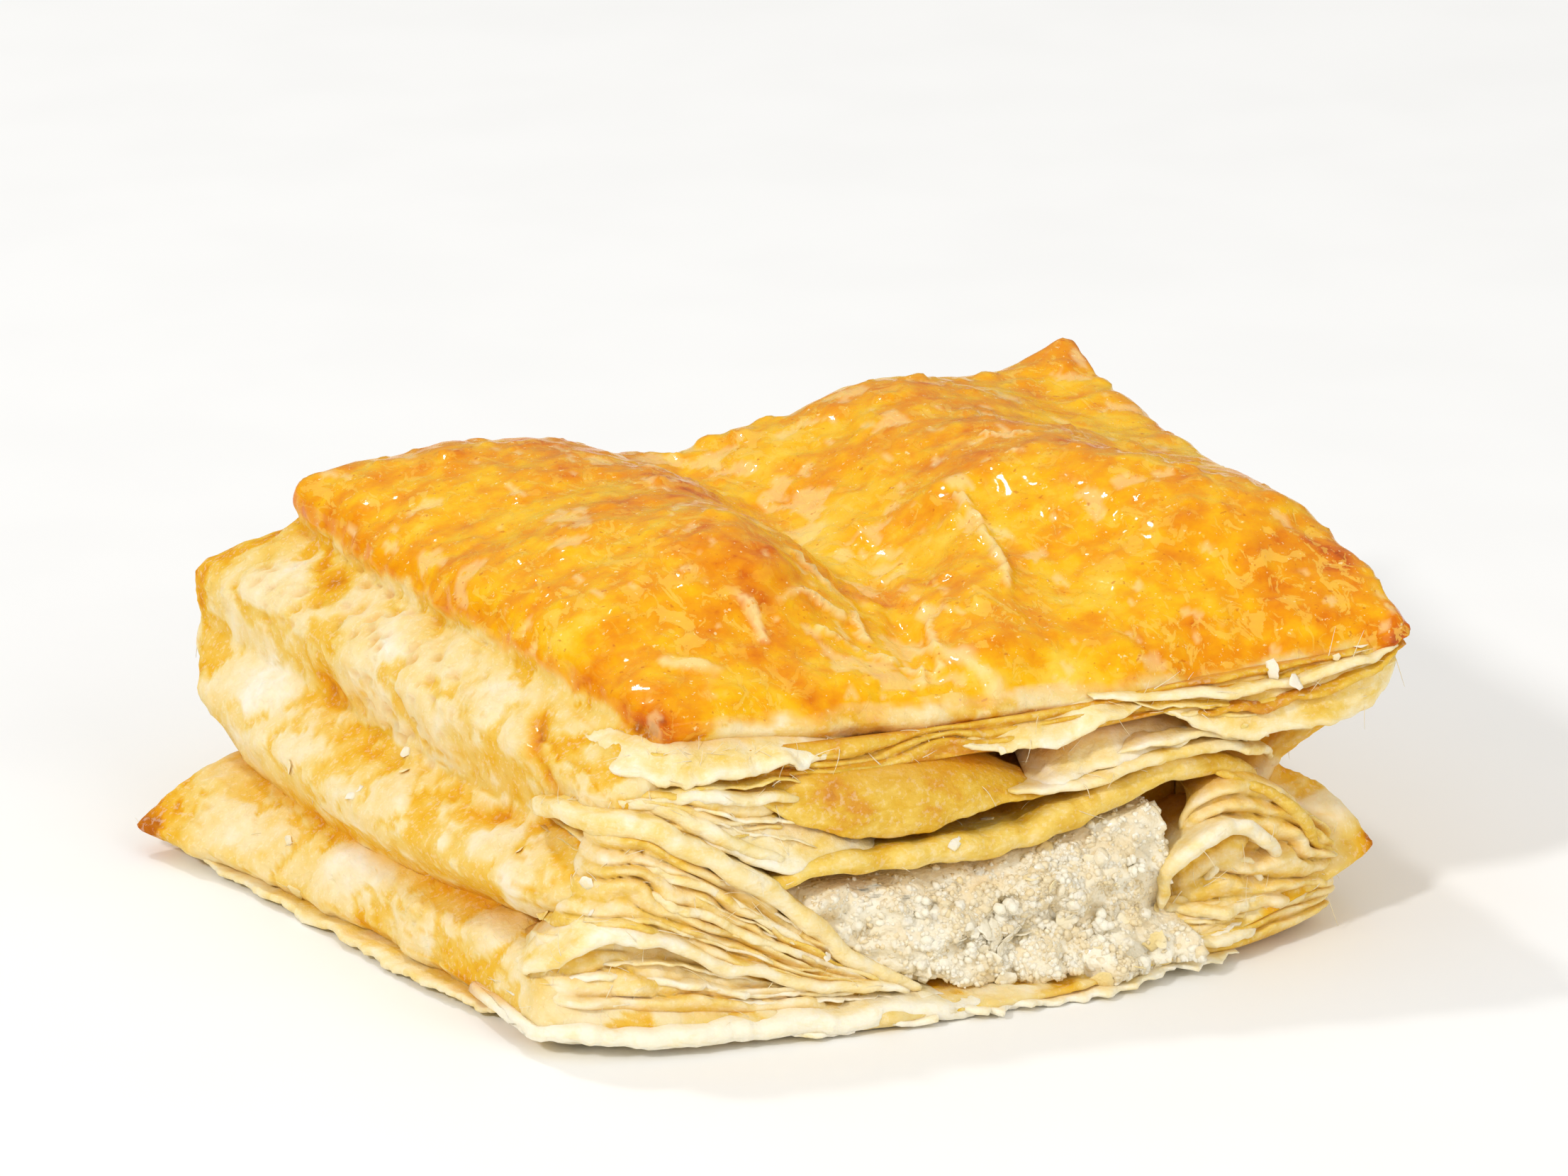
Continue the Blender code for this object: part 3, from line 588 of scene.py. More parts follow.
FOLDS = (
    ribbon("fold_over_filling",
        [(-17.5, -45, 14.4), (-11, -45.6, 15.7), (-1, -45, 15.4), (8, -44.4, 15.2), (17.3, -43.2, 17.2),
         (26, -42, 19), (33, -41, 18), (38, -39, 14)], 3, root_rise=-1, rag=0.1, wave=0.25, toast=0.56),
    Leaf("long_fold",
        [(-33.6, -26, 19.4), (-34.8, -33, 20.8), (-33.6, -39.8, 21.4), (-28.4, -44.2, 20.6),
         (-21.5, -45.7, 17), (-14.5, -45.6, 11.6), (-8, -45.8, 5.4), (-2, -46.2, 2.4)],
        [(-29, -25, 19.4), (-30.6, -30, 20.6), (-29, -33, 21.4), (-26, -34, 20.6), (-20.5, -34, 17),
         (-13.5, -34, 11.6), (-8, -34, 5.4), (-2, -34, 2.4)], 2.5, (0, 0, 0), 0.12, 0.25, 0.36),
    Leaf("slope_fold",
        [(-25, -44, 19.8), (-20, -44.8, 17.6), (-13, -45.2, 15.6), (-4, -44.8, 14.8)],
        [(-24, -37, 23), (-18, -37, 23), (-12, -37, 22), (-4, -37, 17)], 1.2, (0, -1.5, 1), 0.2, 0.4, 0.16),
    ribbon("second_fold",
        [(-30, -37, 23.6), (-27.6, -41.6, 22.8), (-24, -44, 20.8), (-19, -45, 17.8), (-12, -44.6, 15.4)],
        1.7, toast=0.3),
    ribbon("left_leaf_1",
        [(-33, -37.5, 18.8), (-30, -42, 18.2), (-26.6, -44.6, 16.8), (-20.4, -45.4, 13), (-10, -45.6, 5.8)],
        1.1, rag=0.6),
    ribbon("left_leaf_2",
        [(-34.6, -38, 16.2), (-31, -42.8, 15.6), (-26.8, -45.2, 13.8), (-20, -46, 10.4), (-6, -46.4, 3.6)],
        1.1, rag=0.7),
    Leaf("corner_fold",
        [(-38.2, -33, 7.4), (-39.8, -40, 7.6), (-38.4, -43.6, 9.6), (-35.6, -45.4, 11.4),
         (-32, -46.2, 11.8), (-26.4, -46.6, 9.6), (-19.8, -46.9, 6.8), (-10.8, -47.2, 4.2),
         (-4, -47.4, 2.6)],
        [(-34.6, -31, 8.6), (-35.4, -34.6, 9.8), (-34.8, -36.4, 11.4), (-33, -37, 13), (-30, -37, 12.4),
         (-25, -37, 9.6), (-19, -37, 6.8), (-10.8, -37, 4.2), (-4, -37, 2.6)],
        1.5, (0, 0, 0.8), 0.25, 0.35, 0.24),
    ribbon("corner_leaf",
        [(-39.2, -40, 6.4), (-35, -44.4, 7.6), (-28, -45.6, 6.6), (-19, -46.4, 4.6), (-8, -47, 3)],
        0.8, rag=0.7, toast=0.2),
    ribbon("base_edge",
        [(-41, -36, 2.6), (-39, -44.2, 2.5), (-31, -47.4, 2.2), (-20, -48.8, 1.9), (-10, -49.4, 1.6),
         (0, -49.4, 1.2), (10, -48.4, 0.8)], 2.3, rag=0.45, wave=0.25, toast=0.02),
    ribbon("base_flake",
        [(-26, -47.6, 1.6), (-14, -49.2, 1), (0, -50.2, 0.8), (10, -50, 0.8), (22, -48.8, 1),
         (32, -46.6, 1.2)], 0.7, rag=1.3, wave=0.25, toast=0.12),
    Leaf("hem",
        [(-50.6, 27.4, 1.5), (-49.2, 20, 1.2), (-46.8, 8, 1), (-44.6, -6, 0.9), (-43, -20, 0.9),
         (-40.4, -30, 1), (-37, -36, 1.2)],
        [(-43, 25, 1.5), (-42, 18, 1.2), (-40, 8, 1), (-38, -6, 0.9), (-37, -18, 0.9), (-35.4, -26, 1),
         (-33, -30, 1.2)], 0.9, (0, 0, 0), 0.5, 0.3, 0.3),
    Leaf("petal",
        [(-17, -42.6, 21.8), (-12, -43.6, 18.9), (-7, -44, 17.5), (-1, -43.8, 17.5), (5, -43.4, 18.6),
         (13.4, -41.8, 18.5)],
        [(-16, -37.5, 23.4), (-11, -37, 25.2), (-5, -36.5, 25.4), (1, -36.5, 24.4), (7.6, -37, 22),
         (13, -38, 19.4)], 0.9, (0, -5.5, 1.6), 0.15, 0.25, 0.60),
    Leaf("white_flap",
        [(11.4, -42.6, 19.4), (19.4, -43, 20.6), (28, -43, 22.6)],
        [(12.8, -33, 22.6), (18.7, -33, 24), (28.5, -33, 24.6)], 0.7, (0, -3.4, 1.6), 0.5, 0.9, 0.16),
    Leaf("shelf_leaf",
        [(3, -41, 24.6), (9, -43, 23.4), (16.3, -43.8, 24.8), (22.5, -43, 26.4)],
        [(5, -35, 26), (10, -35, 26.4), (16.8, -35, 27), (22, -35, 27.4)], 0.8, (0, -2, 1.2), 0.4, 0.5, 0.28),
    Leaf("corner_drape",
        [(-29.6, -25, 26.2), (-30.2, -33, 25.2), (-29, -39, 24.7), (-25, -42, 24.7), (-19, -42.7, 25),
         (-12, -41.8, 25), (-6, -40.4, 24.8)],
        [(-28, -25, 27.2), (-27.4, -31, 27), (-26, -35, 27.2), (-22.6, -36.6, 27.2), (-17, -37, 26.8),
         (-12, -37, 26.4), (-6, -37, 25.6)], 0.9, (0, -1, 0.7), 0.45, 0.9, 0.22),
    ribbon("left_band",
        [(-31.6, -35, 22.8), (-30, -40.4, 22.8), (-24, -43.2, 23.2), (-17, -43.2, 22.6),
         (-12, -42.6, 21.6)], 1.3, rag=0.5, toast=0.3),
    ribbon("tip_leaf_1",
        [(18, -42, 27.6), (30, -44, 26.8), (42, -44.6, 27.8), (50, -43.2, 29.2)],
        0.9, root_y=-32, rag=0.3, toast=0.3),
    Leaf("tip_leaf_2",
        [(25, -42.6, 24.8), (30, -44, 23.2), (36, -44.6, 22.6), (42, -44.6, 22.8), (47, -43.4, 24),
         (50.4, -41.4, 26)],
        [(25, -40, 26.6), (30, -41.4, 27.2), (36, -42, 27.6), (42, -42.6, 28), (47, -42.4, 28.6),
         (50.6, -40.6, 29.2)], 1.3, (0, -1.2, -0.4), 0.5, 0.6, 0.34),
    ribbon("tip_crest",
        [(28, -43.6, 25.2), (33, -44.8, 25.2), (40, -45.4, 25.8), (46, -44.8, 27), (50.9, -42.8, 29)],
        0.7, root_y=-37, root_rise=1.6, rag=0.3, toast=0.82),
    ribbon("upper_ribbon",
        [(9, -43, 19.4), (17, -43.8, 19.8), (25, -43.6, 21.4), (32, -43, 21), (36, -41.6, 19.8),
         (39, -38.4, 18)], 1.3, root_y=-33, rag=0.4, toast=0.34),
    ribbon("upper_ribbon_2",
        [(20, -42.8, 22.2), (27, -43.4, 22.6), (33, -42.4, 21.8), (38, -39.4, 20.4)],
        0.9, root_y=-33, rag=0.6, toast=0.3),
    Leaf("arch",
        [(24.2, -43.8, 6), (25.2, -45, 10), (28.4, -45.6, 13), (33.4, -45, 13.2), (37.2, -43, 9.4),
         (38.6, -41.4, 6)],
        [(28, -33, 5.4), (28.4, -33, 10), (30.4, -33, 12.2), (33.4, -33, 12), (36.4, -33, 8),
         (37.4, -33, 6)], 1.9, (0, 0, 0), 0.4, 0.5, 0.26),
    ribbon("arch_inner",
        [(28.2, -42.4, 6.4), (30.8, -43.8, 9.4), (34, -43.4, 9), (36.6, -42, 5.6)], 0.9, rag=0.7, toast=0.2),
    ribbon("right_leaf_1",
        [(25.2, -43.4, 5.4), (31.4, -44.2, 5), (40, -40, 5.6)], 1.3, rag=0.8),
    ribbon("right_leaf_2",
        [(24, -46, 3), (31, -46, 2.6), (38.6, -41, 2.8)], 1.2, rag=0.9),
    ribbon("right_leaf_3",
        [(31, -42.4, 18.2), (36, -43, 15.8), (40, -42.4, 12.4), (43.6, -40.6, 8.6), (46.6, -38.6, 6.6)],
        1.5, root_y=-32, rag=0.4, toast=0.62),
)
# How far the lips wander and over what distance, in mm, and how many steps round off a lip.
LIP_WOBBLE = 0.45
LIP_WOBBLE_SIZE = 4.0
NOSE = 4

# A stack of leaves that is seen at its edge: its top and bottom lines, how many leaves it has,
# how far their lips stand out, the depth of the stack, and how toasted it is.
Stack = namedtuple("Stack", "name upper lower leaves stand depth toast")

STACKS = (
    Stack("fan",
        [(-32, -34, 20.6), (-32.2, -39, 21), (-30.6, -42.2, 20.6), (-28, -43.4, 19.6), (-21.5, -44.2, 16),
         (-14.5, -44.4, 10.6), (-8, -44.8, 4.8), (-3, -45.4, 2.4)],
        [(-36.6, -35.6, 11.4), (-36.8, -40, 11.6), (-34.2, -43.4, 11.8), (-31.5, -44.6, 11.8),
         (-26.4, -45.2, 9.6), (-19.8, -45.6, 6.8), (-10.8, -46.2, 3.6), (-3, -46.6, 1.9)], 6, 1.6, 8, 0.34),
    Stack("corner",
        [(-39.4, -37, 10.6), (-37, -41.8, 11.4), (-32.5, -43, 11.6), (-26.4, -43.6, 9.4),
         (-19.8, -44.2, 6.6), (-10.8, -45, 3.6)],
        [(-41, -37, 4.6), (-38.6, -43.2, 4.9), (-32, -45.6, 4.3), (-24, -46.6, 3.2), (-16, -47.2, 2.4),
         (-8, -47.6, 1.8)], 4, 1.3, 8, 0.26),
    Stack("crust_edge",
        [(-26.6, -35, 27), (-25.4, -39.2, 26.8), (-14, -40.2, 26.4), (0, -40.4, 26.2), (14, -40.8, 26.6),
         (28, -41.8, 27.8), (42, -43.2, 29), (50.2, -43.4, 29.5)],
        [(-29, -35, 25), (-26, -39.6, 24.4), (-14, -41, 23.4), (0, -41.4, 23.2), (14, -42, 24.2),
         (28, -42.4, 25.2), (42, -43.4, 26.6), (49.6, -43, 28.4)], 3, 0.9, 6, 0.62),
    Stack("left_bundle",
        [(-31.6, -36, 24.4), (-29, -40.4, 24.2), (-24, -42.2, 23.6), (-18, -42.4, 22.4), (-13, -41, 21)],
        [(-33.4, -36, 20.8), (-30.4, -41.4, 20.2), (-24, -43.4, 18.8), (-18, -43.4, 17.4),
         (-13, -42, 16.8)], 5, 1, 7, 0.36),
    Stack("tip_edge",
        [(18, -41.4, 27), (30, -42.8, 27), (42, -43.4, 28), (49.4, -42.6, 29)],
        [(20, -41.6, 25), (31, -42.6, 25), (42, -43, 26.2), (49, -42, 27.6)], 4, 0.9, 7, 0.56),
    Stack("right_mass",
        [(26.4, -41, 12), (28.8, -41.8, 16.2), (33, -42, 18), (38, -41.8, 16), (42.4, -40.4, 11.8),
         (47, -38, 7.6)],
        [(25, -42.4, 3.4), (29, -43.2, 4), (33, -43.4, 4), (38, -42.6, 3.4), (42.6, -40.8, 3.2),
         (47, -38.6, 3.6)], 6, 1.8, 9, 0.34),
    Stack("right_corner",
        [(24.4, -42, 6.6), (31, -42.6, 6.6), (40, -39.4, 7), (45, -37, 7)],
        [(23, -45.6, 1.8), (31, -45.4, 1.4), (40, -42, 1.6), (46, -38.6, 2.2)], 6, 1.2, 7, 0.4),
)
# Rows to each leaf of a stack, and the space between its columns in mm.
STACK_ROWS = 7
STACK_SPACING = 0.42


def name_seed(name):
    """A number that differs from name to name."""
    return sum(ord(letter) * (place + 1) for place, letter in enumerate(name)) % 199


def unit(vectors):
    """Vectors of length one along the last axis."""
    return vectors / np.maximum(np.linalg.norm(vectors, axis=-1), 1e-9)[..., None]


def closed_sheet(pile, shell, **layers):
    """Adds a tube of rows that is closed along its back and at both ends."""
    rows, stations = shell.shape[:2]
    faces = grid_faces(rows, stations).tolist()
    last = (rows - 1) * stations
    faces += [[last + c, last + c + 1, c + 1, c] for c in range(stations - 1)]
    faces.append([r * stations for r in range(rows)])
    faces.append([r * stations + stations - 1 for r in range(rows)][::-1])
    flat = shell.reshape(-1, 3)
    flat[:, 2] = np.maximum(flat[:, 2], 0.05)
    pile.add(flat, faces, **layers)


def add_stack(pile, stack):
    """Adds a block whose face shows the uneven lips of many thin leaves."""
    length = np.linalg.norm(np.diff(spline(stack.upper, 60), axis=0), axis=1).sum()
    columns = max(20, int(length / STACK_SPACING))
    upper, lower = spline(stack.upper, columns), spline(stack.lower, columns)
    seed = name_seed(stack.name)
    v = np.linspace(0, 1, stack.leaves * STACK_ROWS + 1)[:, None, None]
    face = upper * (1 - v) + lower * v
    down = np.gradient(face, axis=0)
    outward = unit(np.cross(down, np.gradient(face, axis=1)))
    share = np.linspace(0, 1, columns)
    out = ramp(share, 0.0, 0.12) * ramp(1 - share, 0.0, 0.12)
    ends = ramp(share, 0.04, 0.36) * ramp(1 - share, 0.0, 0.15)
    drift = 1.3 * field(face * (0.5, 1, 1), 6.0, seed, 2) * np.sin(v[..., 0] * math.pi)
    order = v[..., 0] * stack.leaves + drift
    leaf = np.floor(order)
    inside = order - leaf
    own = face + np.stack((0 * leaf, 0 * leaf, 9.7 * leaf), axis=-1)
    stand = 0.55 + 0.80 * field(own, 6.0, seed + 1) + 0.32 * field(own, 1.7, seed + 2, 2)
    lip = np.maximum(1 - np.abs(2 * inside - 1) ** 2.2, 0) ** 0.6
    open_part = 0.2 + 0.8 * ramp(field(own, 6.0, seed + 6), -0.35, 0.25)
    rise = stack.stand * (stand * lip - 0.55 * (1 - lip) * open_part) * ends - 2.0 * (1 - out)
    droop = unit(down) * (0.30 * stack.stand * field(own, 4.0, seed + 3) * lip * ends)[..., None]
    face = face + outward * rise[..., None] + droop
    back = np.stack((lower, upper)) - outward[[-1, 0]] * stack.depth
    tone = stack.toast + 0.24 * field(own, 9.0, seed + 4) + 0.16 * field(face, 1.6, seed + 5, 2)
    # Painted shade: the gaps between the lips are darker and ochre, and the hidden back rows are full shade.
    tone = tone + 0.16 - 0.18 * lip
    tone = np.vstack((tone, tone[-1:], tone[:1]))
    deep = np.vstack(((1 - lip) * 0.7 * open_part * ends + 0.1, np.ones((2, columns))))
    closed_sheet(pile, np.concatenate((face, back)), toast=np.clip(tone, 0, 1).ravel(),
                 deep=np.clip(deep, 0, 1).ravel())


def add_leaf(pile, leaf, spacing=0.55, steps=18):
    """Adds one closed curved sheet, with a rounded ragged lip, thinner ends and fine waves."""
    length = np.linalg.norm(np.diff(spline(leaf.lip, 60), axis=0), axis=1).sum()
    stations = max(8, int(length / spacing))
    lip = spline(leaf.lip, stations)
    root = spline(leaf.root, stations)
    seed = name_seed(leaf.name)
    lip += LIP_WOBBLE * min(1.0, length / 12) * field_vectors(lip, LIP_WOBBLE_SIZE, seed)
    inward = unit(root - lip)
    rag = field(lip, 1.3, seed + 3, 2) + 0.6 * field(lip, 5.0, seed + 4)
    lip = lip + inward * (leaf.rag * rag)[:, None]

    share = np.linspace(0, 1, stations)
    ends = 0.25 + 0.75 * np.sqrt(4 * share * (1 - share))
    half = 0.5 * leaf.thick * ends * (1 + 0.22 * field(lip, 3.0, seed + 5))
    middle = 0.5 * (lip + root) + leaf.bulge * (4 * share * (1 - share))[:, None]
    t = np.linspace(0, 1, steps)[:, None, None]
    line = (1 - t) ** 2 * root + 2 * t * (1 - t) * middle + t ** 2 * lip
    facing = unit(np.cross(np.gradient(line, axis=1), np.gradient(line, axis=0)))
    wave = field(line * (1, 0.5, 1), 4.5, seed + 6, 2) + 0.35 * field(line, 1.6, seed + 7)
    line = line + facing * (leaf.wave * wave * t[..., 0])[..., None]
    profile = half[None, :] * np.linspace(1.0, 0.85, steps)[:, None]

    outward = unit(line[-1] - line[-2])
    nose = []
    for angle in np.linspace(0.5, -0.5, NOSE + 1) * math.pi:
        nose.append(line[-1] + facing[-1] * (profile[-1] * math.sin(angle))[:, None]
                    + outward * (profile[-1] * math.cos(angle) * 0.8)[:, None])
    upper = line + facing * profile[..., None]
    lower = (line - facing * profile[..., None])[::-1]
    shell = np.concatenate((upper[:-1], np.array(nose), lower[1:]), axis=0)
    shell = shell + 0.08 * field_vectors(shell, 1.1, seed + 8)

    inner = np.concatenate((np.linspace(1, 0, steps)[:-1], np.zeros(NOSE + 1), np.linspace(0, 1, steps)[1:]))
    behind = inner[:, None] * np.linalg.norm(root - lip, axis=1)[None, :]
    tone = leaf.toast + 0.20 * field(shell, 5.0, seed + 11, 2) + 0.12 * field(shell, 1.4, seed + 12)
    # Painted shade: each leaf is lighter at its lip and darker and more ochre further in towards its root.
    tone = tone + 0.04 - 0.14 * (1 - ramp(behind, 0.2, 1.4))
    closed_sheet(pile, shell, toast=np.clip(tone, 0, 1).ravel(), deep=ramp(behind, 2.5, 9.0).ravel())


def between(a, b, share, name, thick, back, rag, toast):
    """A thin leaf between two others, with its lip set back a little."""
    count = 9
    lip = spline(a.lip, count) * (1 - share) + spline(b.lip, count) * share
    root = spline(a.root, count) * (1 - share) + spline(b.root, count) * share
    lip = lip + unit(root - lip) * back
    return Leaf(name, lip, root, thick, (0, 0, 0), rag, 0.3, toast)


# Pairs of folds with thin leaves between them, and how many.
THIN_BETWEEN = (
    ("long_fold", "left_leaf_1", 1), ("left_leaf_1", "left_leaf_2", 2), ("left_leaf_2", "corner_fold", 1),
    ("corner_fold", "corner_leaf", 1), ("corner_leaf", "base_edge", 1), ("second_fold", "left_band", 2),
    ("left_band", "corner_drape", 1), ("tip_leaf_1", "tip_leaf_2", 2), ("right_leaf_1", "right_leaf_2", 3),
)


def make_leaves():
    """The folds of the torn side, the stacks behind them and the thin leaves between them."""
    folds = Pile()
    for leaf in FOLDS:
        add_leaf(folds, leaf)
    stacks = Pile()
    for stack in STACKS:
        add_stack(stacks, stack)
    named = {leaf.name: leaf for leaf in FOLDS}
    thin = Pile()
    for first, second, count in THIN_BETWEEN:
        for k in range(count):
            share = (k + 1 + rng.uniform(-0.25, 0.25)) / (count + 1)
            leaf = between(named[first], named[second], share, f"{first}_{k}", rng.uniform(0.3, 0.5),
                           rng.uniform(0.2, 1.2), rng.uniform(0.4, 0.9), rng.uniform(0.12, 0.5))
            add_leaf(thin, leaf, spacing=0.5, steps=9)
    return folds.build("torn_folds"), stacks.build("torn_stacks"), thin.build("torn_leaves")


# Loose scraps and fibres: how many, and how long they are, in mm.
WALL_SCRAPS = 50
LEAF_SCRAPS = 30
SCRAP_SIZES = (1.0, 2.6)
FIBRES = 420
FIBRE_SIZES = (0.9, 3.2)
FIBRE_STEPS = 7


def random_tangent(normal):
    """A random direction along the surface, and the one across it."""
    along = unit(np.cross(normal, rng.normal(size=3)))
    return along, np.cross(normal, along)


def add_scrap(pile, point, normal, size, number):
    """Adds a small curled scrap of a leaf that lies on the surface, with one edge lifted."""
    along, across = random_tangent(normal)
    lift = rng.uniform(-0.05, 0.18)
    places = (-0.5, 0.0, 0.5)
    lip = [point + along * size * s + across * size * (0.35 - s * s) + normal * size * lift for s in places]
    root = [point + along * size * s * 0.8 - across * size * 0.3 - normal * 0.15 for s in places]
    leaf = Leaf(f"scrap_{number}", lip, root, rng.uniform(0.10, 0.16), tuple(normal * size * 0.1),
                0.3 * size, 0.12 * size, rng.uniform(0.0, 0.35))
    add_leaf(pile, leaf, spacing=0.28, steps=6)


def add_fibre(pile, point, normal, size):
    """Adds a thin tapering strand that curls away from the surface."""
    along, across = random_tangent(normal)
    t = np.linspace(0, 1, FIBRE_STEPS)[:, None]
    path = (point - normal * 0.2 + normal * size * rng.uniform(0.1, 0.5) * t + along * size * t ** 1.5
            + across * size * rng.uniform(-0.5, 0.5) * t ** 2.5)
    width = rng.uniform(0.05, 0.10) * (1 - 0.7 * t)
    ring = [across * math.cos(a) + normal * math.sin(a) for a in (0.0, 2.1, 4.2)]
    shell = (path[:, None] + np.array(ring)[None] * width[:, None]).reshape(-1, 3)
    shell[:, 2] = np.maximum(shell[:, 2], 0.05)
    faces = grid_faces(FIBRE_STEPS, 3, wrapped=True).tolist()
    faces += [[0, 1, 2], [3 * FIBRE_STEPS - 1, 3 * FIBRE_STEPS - 2, 3 * FIBRE_STEPS - 3]]
    pile.add(shell, faces, toast=0.12, deep=0.0)


def make_trimmings(body, span, torn_pieces):
    """Scraps on the walls and on the torn leaves, and fibres at the torn lips."""
    p, normals = point_arrays(body)
    flaky = ramp(field(p, 14.0, 81), -0.3, 0.5)
    chance = flaky * ((span > 1.6) & (span < 8.3))
    scraps = Pile()
    for number, k in enumerate(rng.choice(len(p), WALL_SCRAPS, p=chance / chance.sum())):
        add_scrap(scraps, p[k], normals[k], rng.uniform(*SCRAP_SIZES), number)
    lips = []
    for piece in torn_pieces:
        points, facing = point_arrays(piece)
        deep = np.empty(len(points), np.float32)
        piece.data.attributes["deep"].data.foreach_get("value", deep)
        keep = (deep < 0.25) & (facing[:, 1] < 0.1) & (facing[:, 2] > -0.3) & (points[:, 2] > 3.0)
        lips.append(np.hstack((points[keep], facing[keep])))
    lips = np.vstack(lips)
    for number, k in enumerate(rng.integers(len(lips), size=LEAF_SCRAPS)):
        add_scrap(scraps, lips[k, :3], lips[k, 3:], rng.uniform(*SCRAP_SIZES) * 0.8, WALL_SCRAPS + number)
    fibres = Pile()
    for k in rng.integers(len(lips), size=FIBRES):
        add_fibre(fibres, lips[k, :3], lips[k, 3:], rng.uniform(*FIBRE_SIZES))
    for k in rng.choice(len(p), FIBRES // 4, p=chance / chance.sum()):
        add_fibre(fibres, p[k], normals[k], rng.uniform(*FIBRE_SIZES) * 0.7)
    return scraps.build("leaf_scraps"), fibres.build("leaf_fibres")


# The coconut filling.

FILLING_FRONT = (
    (-15.4, 12.5), (-6, 12.9), (6, 13.1), (14, 14.2), (19.6, 15.6), (24.4, 15.8), (25.2, 12.6), (26.6, 9.6),
    (25.2, 6.4), (27.2, 3.6), (24, 1), (20.4, 2), (16.6, 0.6), (13, 2.2), (8, 0.9), (2, 2.4),
    (-6, 3.9), (-11.5, 8),
)
FILLING_FACE_MIDDLE = np.array((7.0, 8.2))
FILLING_INNER_MIDDLE = np.array((5.0, 7.2))
FILLING_INNER_HALF = np.array((31.0, 3.9))
# Rings inside the pastry: Y, share of the inner outline, and scale.
FILLING_INNER = (
    (-30.0, 0.3, 0.98), (-24.0, 0.7, 1.0), (-6.0, 1.0, 1.0), (14.0, 1.0, 0.92), (25.5, 1.0, 0.7),
    (26.8, 1.0, 0.3),
)
FILLING_COLUMNS = 240
FACE_RINGS = 42
SIDE_RINGS = 12
# Rings of the core that grains lie on.
GRAIN_RINGS = FACE_RINGS + 5
GRAINS = 6500
# Larger clumps on the torn face: X, Z and size.
CLUMPS = (
    (7.9, 9.1, 1.6), (16.5, 6.0, 1.2), (-2.0, 10.0, 1.1), (20.6, 11.2, 1.0), (3.0, 5.4, 0.9),
    (12.6, 11.4, 0.9),
)
CLUMP_GRAINS = 14
SHREDS = 46
SHRED_SIZES = (1.2, 2.8)
# Scraps are numbered for their noise, and the shreds' numbers start here.
FIRST_SHRED = 500


def filling_face(flat, share):
    """Y of the filling's torn face at (x, z) points, for their share of the way to its outline."""
    low = 1 - ramp(flat[..., 1], 2.5, 6.5)
    lobes = field(np.stack((flat[..., 0], 0 * low, 0 * low), axis=-1), 4.0, 71, 2)
    spill = (1.6 + 2.4 * ramp(flat[..., 0], 0.0, 12.0)) * low * (0.7 + 0.8 * lobes)
    return -45.2 + 2.2 * share ** 3 - 1.4 * (1 - flat[..., 1] / 16.0) - spill


def filling_ring(flat, y):
    """A ring of points from (x, z) pairs and their Y."""
    return np.column_stack((flat[:, 0], np.broadcast_to(y, len(flat)), flat[:, 1]))


def make_filling():
    """The body of the filling: a lumpy torn face, and a plain slab that runs into the pastry."""
    outline = closed_spline(FILLING_FRONT, FILLING_COLUMNS)
    offset = outline - FILLING_FACE_MIDDLE
    angle = np.arctan2(offset[:, 1], offset[:, 0])
    turn = np.stack((np.cos(angle), np.sin(angle)), axis=1)
    inner = FILLING_INNER_MIDDLE + FILLING_INNER_HALF * np.sign(turn) * np.abs(turn) ** 0.5
    rings = []
    for share in np.linspace(0.02, 0.97, FACE_RINGS):
        flat = FILLING_FACE_MIDDLE * (1 - share) + outline * share
        rings.append(filling_ring(flat, filling_face(flat, share)))
    for y in np.linspace(-42.4, -34.0, SIDE_RINGS):
        rings.append(filling_ring(outline, y))
    for y, blend, scale in FILLING_INNER:
        flat = outline * (1 - blend) + inner * blend
        middle = flat.mean(axis=0)
        rings.append(filling_ring(middle + (flat - middle) * scale, y))
    shell = np.array(rings)
    lump = field_vectors(shell, 3.8, 50, 3) * (1.0, 1.9, 1.0)
    lump += field_vectors(shell, 1.3, 60, 2) * (0.12, 0.30, 0.12)
    strength = np.ones(len(rings))
    strength[FACE_RINGS:] = 0.35
    shell = shell + lump * strength[:, None, None]
    faces = grid_faces(len(rings), FILLING_COLUMNS, wrapped=True).tolist()
    faces.append(list(range(FILLING_COLUMNS)))
    faces.append(list(range((len(rings) - 1) * FILLING_COLUMNS, len(rings) * FILLING_COLUMNS)))
    return new_object("filling_core", shell.reshape(-1, 3), faces,
                      wet=field(shell, 4.0, 70, 2).ravel() * 0.5 + 0.5, yellow=0.0)


def ico_grain():
    """Points and faces of a unit icosahedron."""
    g = (1 + 5 ** 0.5) / 2
    points = [(-1, g, 0), (1, g, 0), (-1, -g, 0), (1, -g, 0), (0, -1, g), (0, 1, g),
              (0, -1, -g), (0, 1, -g), (g, 0, -1), (g, 0, 1), (-g, 0, -1), (-g, 0, 1)]
    faces = [(0, 11, 5), (0, 5, 1), (0, 1, 7), (0, 7, 10), (0, 10, 11), (1, 5, 9), (5, 11, 4), (11, 10, 2),
             (10, 7, 6), (7, 1, 8), (3, 9, 4), (3, 4, 2), (3, 2, 6), (3, 6, 8), (3, 8, 9), (4, 9, 5),
             (2, 4, 11), (6, 2, 10), (8, 6, 7), (9, 8, 1)]
    return np.array(points) / math.hypot(1, g), faces


def random_turn():
    """A random rotation matrix."""
    q, _ = np.linalg.qr(rng.normal(size=(3, 3)))
    return q * np.sign(np.linalg.det(q))


